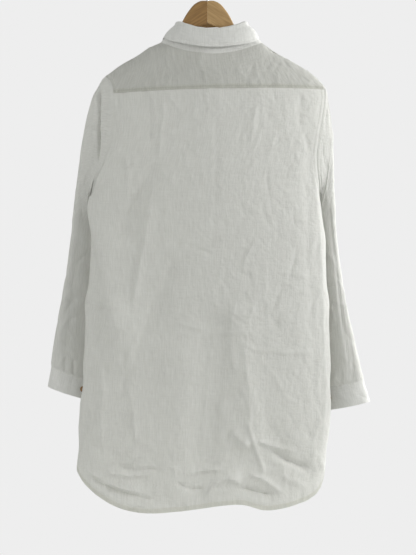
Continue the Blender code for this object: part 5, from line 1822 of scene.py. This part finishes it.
@dataclass
class Collar:
    """The stand on the neck seam and the leaf that folds over it."""

    form: CollarForm
    stitching: Stitching
    finishes: Finishes
    leaf_wave_mm: float = 0.9
    leaf_inside: tuple[float, float, float] = (8.0, 3.0, -160.0)
    stitch_in_mm: float = 5.0
    stitch_dip_mm: float = 0.5
    rim_proud_mm: float = 0.35
    fold_waver_mm: float = 0.6
    fold_dip_mm: float = 1.4

    def build(self) -> list[Object]:
        ring = self.form.neck_ring()
        stand = refined(self.form.stand_rows(ring), 2.4, 2.4)
        middle = stand.reshape(-1, 3).mean(axis=0)
        stand_piece = ClothPiece("linen_collar_stand", stand, middle, thickness=1.5, edge_thickness=1.8)
        stand_piece = stand_piece.make(self.finishes.fused)
        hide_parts("collar_stand")
        leaf = refined(self.form.leaf_rows(ring), 1.7, 2.4)
        inside = self.leaf_inside
        normals = surface_normals(leaf, inside)
        along = edge_distance(leaf, PanelEdge.FIRST)
        down = edge_distance(leaf, PanelEdge.TOP)
        wave = np.sin(along / 19 + 0.5) * np.sin(along / 47 + 2) * self.leaf_wave_mm
        crumple = Crumple(71, 120, long_mm=18, wide_mm=3, high_mm=0.22, hollows=24, hollow_high_mm=0.4)
        height = crumple.height(along, down) + wave * eased(down / 20)
        edges = (PanelEdge.BOTTOM, PanelEdge.FIRST, PanelEdge.LAST)
        rim = np.minimum.reduce([edge_distance(leaf, edge) for edge in edges])
        height = height - self.stitch_dip_mm * np.exp(-(((rim - self.stitch_in_mm) / 1.4) ** 2))
        height = height + self.rim_proud_mm * (1 - eased((rim - 3.8) / 1.2))
        leaf = leaf + normals * height[..., None]
        x, at_fold = leaf[..., 0], np.exp(-down / 10) * (leaf[..., 1] < 0)
        waver = self.fold_waver_mm * np.sin(x / 4.1) * np.sin(x / 13)
        leaf[..., 2] += at_fold * (waver - self.fold_dip_mm * np.exp(-np.abs(x - 1) / 10))
        normals = surface_normals(leaf, inside)
        leaf_piece = ClothPiece("linen_collar_leaf", leaf, inside, thickness=1.5, edge_thickness=1.8)
        leaf_piece = leaf_piece.make(self.finishes.fused)
        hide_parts("collar_leaf")
        line = self.stitching.line
        leaf_lines = [line(leaf, normals, edge, self.stitch_in_mm) for edge in edges]
        leaf_sewn = self.stitching.sew("collar_leaf_stitches", leaf_lines, self.finishes.thread)
        stand_normals = surface_normals(stand, middle)
        stand_line = [line(stand, stand_normals, PanelEdge.TOP, 2.0)]
        stand_sewn = self.stitching.sew("collar_stand_stitches", stand_line, self.finishes.thread)
        return [stand_piece, leaf_piece]


SLEEVE_HIDDEN_CREASES = table(
    Crease,
    (6, -3.0, 0.2, ((96, -440), (100, -560), (88, -690))),
    (7, 2.8, -0.2, ((128, -420), (134, -520), (120, -640), (110, -740))),
    (6, -2.6, 0, ((160, -470), (158, -600), (142, -720))),
    (6, 2.2, 0.2, ((196, -440), (192, -560), (176, -660))),
    (5, -2.2, 0, ((222, -520), (206, -640), (190, -740))),
    (4, 1.6, 0, ((104, -610), (150, -624))),
    (4, -1.5, 0, ((140, -690), (184, -700))),
    (3, -2.0, 0, ((120, -722), (119, -760))),
    (3, -2.0, 0, ((152, -726), (150, -762))),
    (3, 1.6, 0, ((178, -730), (176, -764))),
)


@dataclass
class Sleeve:
    """One sleeve with its buttoned cuff."""

    form: SleeveForm
    stitching: Stitching
    finishes: Finishes
    cuff_lap: float = 0.07
    cuff_lift_mm: float = 1.7
    cuff_thickness_mm: float = 1.4
    calm_mm: float = 14.0
    head_ridge_mm: float = 0.7
    cuff_ditch_mm: float = 0.8
    deepest_mm: float = -6.5
    highest_mm: float = 4.2

    def build(self) -> list[Object]:
        side = self.form.side
        word = "left" if side < 0 else "right"
        coarse, cuff = self.form.rows()
        rows = refined(coarse, 3.0, 2.6, closed=True)
        inside = coarse.reshape(-1, 3).mean(axis=0)
        normals = surface_normals(rows, rows.mean(axis=1, keepdims=True), closed=True)
        x, z = rows[..., 0], rows[..., 2]
        around = np.linalg.norm(np.diff(rows, axis=1, append=rows[:, :1]), axis=-1)
        round_it = around.sum(axis=1, keepdims=True)
        around = np.cumsum(around, axis=1) - around
        seen = eased(0.55 - 1.6 * normals[..., 1])
        table = LEFT_SLEEVE_CREASES if side < 0 else RIGHT_SLEEVE_CREASES
        height = crease_height(x, z, table) * seen
        height = height + crease_height(around, z, SLEEVE_HIDDEN_CREASES) * (1 - seen)
        crumple = Crumple(90 + side, 380, long_mm=30, high_mm=0.85)
        wrap = eased(np.minimum(around, round_it - around) / 12)
        height = height + crumple.height(around, z) * wrap
        top, low = edge_distance(rows, PanelEdge.TOP), edge_distance(rows, PanelEdge.BOTTOM)
        height = height * eased(top / self.calm_mm) * lerp(0.35, 1, eased(low / self.calm_mm))
        height = height + self.head_ridge_mm * np.exp(-(((top - 5) / 3.5) ** 2))
        height = height - self.cuff_ditch_mm * np.exp(-((low / 3) ** 2))
        height = np.clip(height, self.deepest_mm, self.highest_mm)
        rows = rows + normals * height[..., None]
        piece = ClothPiece(f"linen_sleeve_{word}", rows, inside, closed=True).make(self.finishes.single)
        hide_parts(f"sleeve_{word}")
        cuff_piece, cuff_sewn = self.build_cuff(cuff, word)
        return [piece, cuff_piece]

    def build_cuff(self, coarse: Array, word: str) -> tuple[Object, Object]:
        """Make the cuff as a strip that laps over itself at the button.

        Args:
            coarse: The cuff's rings.
            word: Which side it is on.

        Returns:
            The cuff and its stitching.
        """
        rings = refined(coarse, 2.6, 2.4, closed=True)
        count = rings.shape[1]
        start = CUFF_BUTTON_COLUMN / coarse.shape[1] + 0.02
        places = (start + np.linspace(0, 1 + self.cuff_lap, round(count * (1 + self.cuff_lap)))) * count
        low = np.floor(places).astype(int)
        part = (places - low)[:, None]
        rows = lerp(rings[:, low % count], rings[:, (low + 1) % count], part)
        centre = rings.mean(axis=1, keepdims=True)
        out = unit((rows - centre) * np.array([1, 1, 0.0]))
        share = np.linspace(0, 1 + self.cuff_lap, rows.shape[1])
        lift = self.cuff_lift_mm * eased((share - 1 + 0.05) / 0.05)
        down = edge_distance(rows, PanelEdge.TOP)
        along = edge_distance(rows, PanelEdge.FIRST)
        crumple = Crumple(140 + self.form.side, 90, long_mm=20, wide_mm=3, high_mm=0.8, hollows=16)
        rows = rows + out * (lift + crumple.height(along, down) * 0.8)[..., None]
        rows = dense_at(rows, PanelEdge.BOTTOM, (0.0, 0.5, 1.2, 2.0, 3.0))
        middle = rows.reshape(-1, 3).mean(axis=0)
        made = ClothPiece(
            f"linen_cuff_{word}",
            rows,
            middle,
            thickness=self.cuff_thickness_mm,
            edge_thickness=self.cuff_thickness_mm,
        )
        piece = made.make(self.finishes.fused)
        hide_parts(f"cuff_{word}")
        centre = rows.mean(axis=1, keepdims=True)
        normals = unit((rows - centre) * np.array([1, 1, 0.0]))
        line = self.stitching.line
        lines = [line(rows, normals, edge, 2.6) for edge in (PanelEdge.TOP, PanelEdge.BOTTOM, PanelEdge.LAST)]
        return piece, self.stitching.sew(f"cuff_stitches_{word}", lines, self.finishes.thread)


@dataclass
class Buttons:
    """The horn buttons, sewn on with thread, and the buttonholes under them."""

    finishes: Finishes
    radius_mm: float = BUTTON_RADIUS
    thickness_mm: float = BUTTON_THICKNESS
    hole_mm: float = 0.75
    hole_out_mm: float = 1.25
    buttonhole_mm: float = 8.0
    cuff_aside_mm: float = 5.2
    dish_share: float = 0.66
    dish_deep_mm: float = 0.5
    thread_radius_mm: float = 0.32
    rim_radius_mm: float = 0.42

    def button_shape(self) -> BMesh:
        """Return one button that lies on its back, with a raised rim and four holes through it."""
        shape = bmesh.new()
        dish = self.radius_mm * self.dish_share
        bmesh.ops.create_circle(shape, segments=40, radius=dish * MM)
        for turn in range(4):
            angle = math.pi / 4 + turn * math.pi / 2
            place = Matrix.Translation(Vector((math.cos(angle), math.sin(angle), 0)) * self.hole_out_mm * MM)
            bmesh.ops.create_circle(shape, segments=10, radius=self.hole_mm * MM, matrix=place)
        bmesh.ops.triangle_fill(shape, edges=shape.edges[:], use_beauty=True)
        top = self.thickness_mm - self.dish_deep_mm
        bmesh.ops.translate(shape, verts=shape.verts, vec=(0, 0, top * MM))
        open_edges = [edge for edge in shape.edges if edge.is_boundary]
        rim = [edge for edge in open_edges if edge.verts[0].co.xy.length > dish * 0.9 * MM]
        holes = [edge for edge in open_edges if edge.verts[0].co.xy.length < dish * 0.9 * MM]
        steps = ((0.74, 0.42), (0.84, 0.5), (0.94, 0.36), (1.0, -0.1), (1.0, -0.8), (0.94, -1.4), (0.8, -top))
        size = self.dish_share
        for wide, high in steps:
            made = bmesh.ops.extrude_edge_only(shape, edges=rim)["geom"]
            verts = [part for part in made if isinstance(part, BMVert)]
            rim = [part for part in made if isinstance(part, BMEdge)]
            rim = [edge for edge in rim if edge.is_boundary and all(end in verts for end in edge.verts)]
            for vertex in verts:
                vertex.co.xy *= wide / size
                vertex.co.z = (top + high) * MM
            size = wide
        made = bmesh.ops.extrude_edge_only(shape, edges=holes)["geom"]
        verts = [part for part in made if isinstance(part, BMVert)]
        for vertex in verts:
            vertex.co.z = 0
        bottom = [edge for edge in shape.edges if edge.is_boundary]
        bmesh.ops.triangle_fill(shape, edges=bottom, use_beauty=True)
        bmesh.ops.recalc_face_normals(shape, faces=shape.faces)
        return shape

    def sew_on(self, node: str, facing: Vector, aside_mm: float = 0.0) -> list[Object]:
        """Put a button where its solid is, with two bars of thread through its holes.

        Args:
            node: The solid's name.
            facing: The way that its face looks.
            aside_mm: How far it is moved along its cloth towards the photograph's left.

        Returns:
            The button and its thread.
        """
        low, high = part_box(node)
        along = facing.cross(Vector((0.0, 0.0, 1.0))).normalized()
        centre = (low + high) / 2 - along * math.copysign(aside_mm * MM, along.x)
        turn = facing.to_track_quat("Z", "Y").to_matrix().to_4x4()
        place = Matrix.Translation(centre - facing * self.thickness_mm / 2 * MM) @ turn
        shape = self.button_shape()
        bmesh.ops.transform(shape, matrix=place, verts=shape.verts)
        made = piece_object(f"horn_{node}", shape, self.finishes.horn)
        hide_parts(node)
        threads = bmesh.new()
        out = self.hole_out_mm * math.cos(math.pi / 4)
        top = self.thickness_mm - 0.45
        for aside in (-out, out):
            share = np.linspace(-1, 1, 9)
            rise = top + 0.35 * (1 - share**4) - 0.5 * share**8
            path = np.stack((share * out, np.full(9, aside), rise), -1)
            tube(threads, path, np.full(9, self.thread_radius_mm), np.array([0.0, 1.0, 0.0]), 8, False)
        bmesh.ops.transform(threads, matrix=place, verts=threads.verts)
        thread = piece_object(f"thread_{node}", threads, self.finishes.thread)
        return [made, thread]

    def buttonhole(self, shape: BMesh, centre: Array, facing: Array, along: Array) -> None:
        """Add the worked rim of one buttonhole to a mesh."""
        along = unit(along)
        aside = unit(np.cross(facing, along))
        half = self.buttonhole_mm
        angles = np.linspace(0, 2 * math.pi, 33)[:-1]
        bend = np.stack((np.cos(angles) * 0.7, np.sin(angles) * 0.9), -1)
        stretch = np.sign(np.sin(angles)) * (half - 0.9)
        path = centre + aside * bend[:, :1] + along * (bend[:, 1:] + stretch[:, None]) + facing * 0.1
        tube(shape, path, np.full(len(path), self.rim_radius_mm), facing, 8, True)

    def build(self, form: DressForm) -> list[Object]:
        """Make all buttons and buttonholes."""
        pieces = []
        holes = bmesh.new()
        front = np.array([0.0, 1.0, 0.0])
        for number in range(FRONT_BUTTONS):
            pieces += self.sew_on(f"button_front_{number + 1}", Vector(front))
            z = BUTTON_TOP - number * BUTTON_PITCH
            seat = form.on_front(MIDDLE_AT(z), np.array(z)) + front * (SEAM_GAP + BAND_CLOTH)
            self.buttonhole(holes, seat, front, np.array([0.0, 0.0, 1.0]))
        pieces.append(piece_object("buttonhole_stitches", holes, self.finishes.thread))
        pieces += self.sew_on("button_stand", Vector(front))
        for word, side in (("left", -1), ("right", 1)):
            node = f"button_cuff_{word}"
            pieces += self.sew_on(node, self.disc_way(node, f"cuff_{word}"), self.cuff_aside_mm)
        return pieces

    def disc_way(self, node: str, cuff: str) -> Vector:
        """Return which way a button's solid looks, away from its cuff."""
        points = np.array([v.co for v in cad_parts[node].data.vertices], float)
        _, _, ways = np.linalg.svd(points - points.mean(axis=0))
        low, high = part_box(cuff)
        way = Vector(ways[2]).normalized()
        away = Vector(points.mean(axis=0)) - (low + high) / 2
        return way if way.dot(away) > 0 else -way


@dataclass
class Hanger:
    """A contoured wooden hanger: two arms that meet in a mitre, and a wire hook."""

    finishes: Finishes
    sides: int = 64
    wire_sides: int = 20
    foot_gap_mm: float = 0.3
    bend_ends: float = math.radians(-38)
    loop_ends: float = math.radians(200)
    end_steps: tuple[tuple[float, float], ...] = ((0.7, 0.95), (1.3, 0.78), (1.7, 0.5), (1.9, 0.2))
    near_outs: tuple[float, ...] = (0.02, 0.3, 1.0)
    tip_outs: tuple[float, ...] = (183, 185, 186.5, 187.6, 188.3, 188.6)

    def section(self, height: float) -> Array:
        """Return the y and z of points evenly round a round-edged upright section of a height."""
        radius = min(HANGER_HALF_THICKNESS, height / 2)
        straight, quarter = height - 2 * radius, math.pi * radius / 2
        knots = np.cumsum([0, quarter, straight, 2 * quarter, straight, quarter])
        at = np.linspace(0, knots[-1], self.sides + 1)
        turn = np.radians(np.interp(at, knots, [0, 90, 90, 270, 270, 360]))
        shift = np.interp(at, knots, np.array([1, 1, -1, -1, 1, 1]) * straight / 2)
        return np.stack((radius * np.sin(turn), shift + radius * np.cos(turn)), -1)

    def arm(self, name: str, side: int, finish: Material) -> Object:
        """Make one arm: sections along it, with the facet cut under the mitre, given darker wood as painted
        shade.
        """
        outs = np.concatenate((self.near_outs, np.linspace(2, 181, 90), self.tip_outs))
        tops = through(HANGER_ARM, "out", "top")(outs)
        heights = through(HANGER_ARM, "out", "height")(outs)
        sections = [self.section(height) for height in heights]
        shape = bmesh.new()
        bmesh.ops.create_grid(shape, x_segments=self.sides, y_segments=len(outs) - 1, size=1)
        cut = set()
        for vertex in shape.verts:
            row = round((vertex.co.y + 1) / 2 * (len(outs) - 1))
            y, z = sections[row][round((vertex.co.x + 1) / 2 * self.sides)]
            out = outs[row]
            z += tops[row] - heights[row] / 2
            deep = max(FACET_TOP - FACET_SLOPE * out - z, 0)
            if deep > 0:
                y = math.copysign(max(abs(y) - FACET_BEVEL * deep, min(abs(y), 0.8)), y)
                cut.add(vertex)
            y += ARM_SWEEP * (out / SWEEP_REACH) ** 2
            vertex.co = Vector((side * out, y, z + side * out * math.tan(HANGER_TILT))) * MM
        for face in shape.faces:
            # faces of the cut facet take the darker wood: painted shade on a facet that faces down
            face.material_index = int(all(vertex in cut for vertex in face.verts))
        bmesh.ops.remove_doubles(shape, verts=shape.verts, dist=1e-7)
        rims = [edge for edge in shape.edges if edge.is_boundary]
        bmesh.ops.holes_fill(shape, edges=rims, sides=0)
        bmesh.ops.recalc_face_normals(shape, faces=shape.faces)
        made = piece_object(name, shape, finish)
        made.data.materials.append(self.finishes.wood_facet_shaded)
        return made

    def hook(self) -> Object:
        """Make the hook: a stem, a bend and the loop over the rail, with a tapered end."""
        radius = HOOK_INNER_RADIUS + HOOK_WIRE / 2
        middle = -HOOK_INNER_RADIUS
        foot = HANGER_ARM[0].top + self.foot_gap_mm
        start = self.bend_ends
        join = np.array([radius * math.cos(start), middle + radius * math.sin(start)])
        first = np.array([0.0, HOOK_STEM_TOP])
        points = [(0.0, z) for z in np.linspace(foot, HOOK_STEM_TOP, 6)]
        leave, arrive = np.array([0, 22]), np.array([10, 20])
        for t in np.linspace(0, 1, 14)[1:-1]:
            bend = first * (1 + 2 * t) * (1 - t) ** 2 + leave * t * (1 - t) ** 2
            points.append(tuple(bend + join * t * t * (3 - 2 * t) - arrive * t * t * (1 - t)))
        for angle in np.linspace(start, self.loop_ends, 60):
            points.append((radius * math.cos(angle), middle + radius * math.sin(angle)))
        path = np.array([(x, 0.0, z) for x, z in points])
        wide = np.full(len(path), HOOK_WIRE / 2)
        tail = unit(path[-1] - path[-2])
        for far, share in self.end_steps:
            path = np.concatenate((path, [path[-1] + tail * far]))
            wide = np.concatenate((wide, [HOOK_WIRE / 2 * share]))
        shape = bmesh.new()
        tube(shape, path, wide, np.array([0.0, 1.0, 0.0]), self.wire_sides, False)
        return piece_object("steel_hook", shape, self.finishes.steel)

    def build(self) -> list[Object]:
        """Make the arms and the hook."""
        # the left arm gets the darker copy of the wood as painted shade, the right arm the paler copy as
        # painted light
        left = self.arm("wooden_arm_left", -1, self.finishes.wood_left_shaded)
        right = self.arm("wooden_arm_right", 1, self.finishes.wood_right_lit)
        hook = self.hook()
        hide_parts("hanger_arm_left")
        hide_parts("hanger_arm_right")
        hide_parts("hanger_hook")
        return [left, right, hook]


class Light(NamedTuple):
    """A soft square light: its place, what it looks at and its size in metres, and its watts."""

    name: str
    place: tuple[float, float, float]
    target: tuple[float, float, float]
    size: float
    watts: float


LIGHTS = table(
    Light,
    ("window_right", (1.9, 1.5, 0.2), (0.1, 0.0, -0.5), 1.4, 60.0),
    ("behind", (-0.3, 2.4, 0.1), (0.0, 0.0, -0.55), 1.8, 16.0),
    ("side_right", (2.2, -0.05, -0.1), (0.3, 0.0, -0.5), 0.9, 25.0),
    ("graze_right", (2.1, -1.05, 0.2), (-0.1, 0.0, -0.5), 0.5, 20.0),
    ("fill_left", (-1.8, -1.5, 0.0), (-0.2, 0.0, -0.5), 1.4, 16.0),
)


@dataclass(frozen=True)
class Studio:
    """The camera at the photograph's angle, a pale floor and soft white light.

    Most of the light comes from the right and behind, with a weaker one from the left in front.
    """

    camera_mm: tuple[float, float, float] = (1.3, -2400.0, -574.0)
    frame_high_mm: float = 1027.0
    sensor_mm: float = 36.0
    floor_z_mm: float = -1300.0
    floor_radius_mm: float = 640.0
    backdrop: str = "#EEEEEE"
    surroundings: str = "#F4F6F3"
    ambient: float = 0.5
    lamp_colour: str = "#FFFFFF"

    def hang(self, light: Light) -> None:
        """Hang one light."""
        lamp = bpy.data.lights.new(light.name, "AREA")
        lamp.size = light.size
        lamp.energy = light.watts
        lamp.color = linear(self.lamp_colour)[:3]
        made = bpy.data.objects.new(light.name, lamp)
        made.location = light.place
        way = Vector(light.target) - Vector(light.place)
        made.rotation_euler = way.to_track_quat("-Z", "Y").to_euler()
        bpy.context.scene.collection.objects.link(made)

    def build(self) -> None:
        """Set up the camera, the floor, the backdrop colour and the lights."""
        scene = bpy.context.scene
        lens = bpy.data.cameras.new("camera")
        lens.sensor_width = self.sensor_mm
        lens.lens = self.sensor_mm * -self.camera_mm[1] / self.frame_high_mm
        camera = bpy.data.objects.new("camera", lens)
        camera.location = Vector(self.camera_mm) * MM
        camera.rotation_euler = (math.pi / 2, 0, 0)
        scene.collection.objects.link(camera)
        scene.camera = camera
        scene.view_settings.view_transform = "Standard"
        shape = bmesh.new()
        bmesh.ops.create_circle(shape, cap_ends=True, segments=96, radius=self.floor_radius_mm * MM)
        bmesh.ops.translate(shape, verts=shape.verts, vec=(0, 0, self.floor_z_mm * MM))
        mesh = bpy.data.meshes.new("floor")
        shape.to_mesh(mesh)
        shape.free()
        mesh.materials.append(PaleFloor().make())
        floor = bpy.data.objects.new("floor", mesh)
        scene.collection.objects.link(floor)
        world = bpy.data.worlds.new("studio")
        world.use_nodes = True
        scene.world = world
        tree = world.node_tree
        tree.nodes.clear()
        camera_ray = add_node(tree, "ShaderNodeLightPath").outputs["Is Camera Ray"]
        around = {"Color": linear(self.surroundings), "Strength": self.ambient}
        soft = add_node(tree, "ShaderNodeBackground", around).outputs[0]
        seen = {"Color": linear(self.backdrop), "Strength": 1.0}
        plain = add_node(tree, "ShaderNodeBackground", seen).outputs[0]
        both = add_node(tree, "ShaderNodeMixShader", {0: camera_ray, 1: soft, 2: plain}).outputs[0]
        add_node(tree, "ShaderNodeOutputWorld", {0: both})
        for light in LIGHTS:
            self.hang(light)


def main() -> None:
    """Build the studio and each sub-assembly in order, and report each piece."""
    logging.basicConfig(level=logging.INFO, format="%(message)s")
    Studio().build()
    finishes = Finishes(
        single=WovenLinen("woven_linen_single", "#F4F4F1", "#E5E5E1", "#F6F6F3", sheer=0.42).make(),
        # the yoke's linen is darker than the single cloth as painted shade for the light two layers hold
        # back; its lower sheer is real
        double=WovenLinen("woven_linen_doubled_shaded", "#DEDED9", "#CBCBC5", "#F0F0EC", sheer=0.3).make(),
        fused=WovenLinen("woven_linen_fused", "#ECECE9", "#DEDEDA", "#F3F3F0", sheer=0.2).make(),
        thread=SewingThread().make(),
        horn=CowHorn().make(),
        # one wood in two copies: the darker one for the left arm is painted shade, the paler one for the
        # right arm is painted light
        wood_left_shaded=LacqueredWood("lacquered_wood_painted_shade", "#A07B48", "#7A5A30", math.radians(32)).make(),
        wood_right_lit=LacqueredWood("lacquered_wood_painted_light", "#BC9B6B", "#9B7B4E", math.radians(-32)).make(),
        # a darker copy of the wood for the facet under the mitre: painted shade
        wood_facet_shaded=LacqueredWood("lacquered_wood_facet_shade", "#8B6A3C", "#644722", 0.0, grain_mm=1.2).make(),
        steel=BrushedSteel().make(),
    )
    form = DressForm()
    solid_form = DressForm(SOLID_GRAIN)
    stitching = Stitching()
    pieces = Hanger(finishes).build()
    pieces += Body(form, stitching, finishes).build()
    pieces += Collar(CollarForm(solid_form), stitching, finishes).build()
    for side in (-1, 1):
        pieces += Sleeve(SleeveForm(solid_form, side), stitching, finishes).build()
    pieces += Buttons(finishes).build(form)
    for piece in pieces:
        LOG.info("made %s", piece.name)


if __name__ == "__main__":
    main()
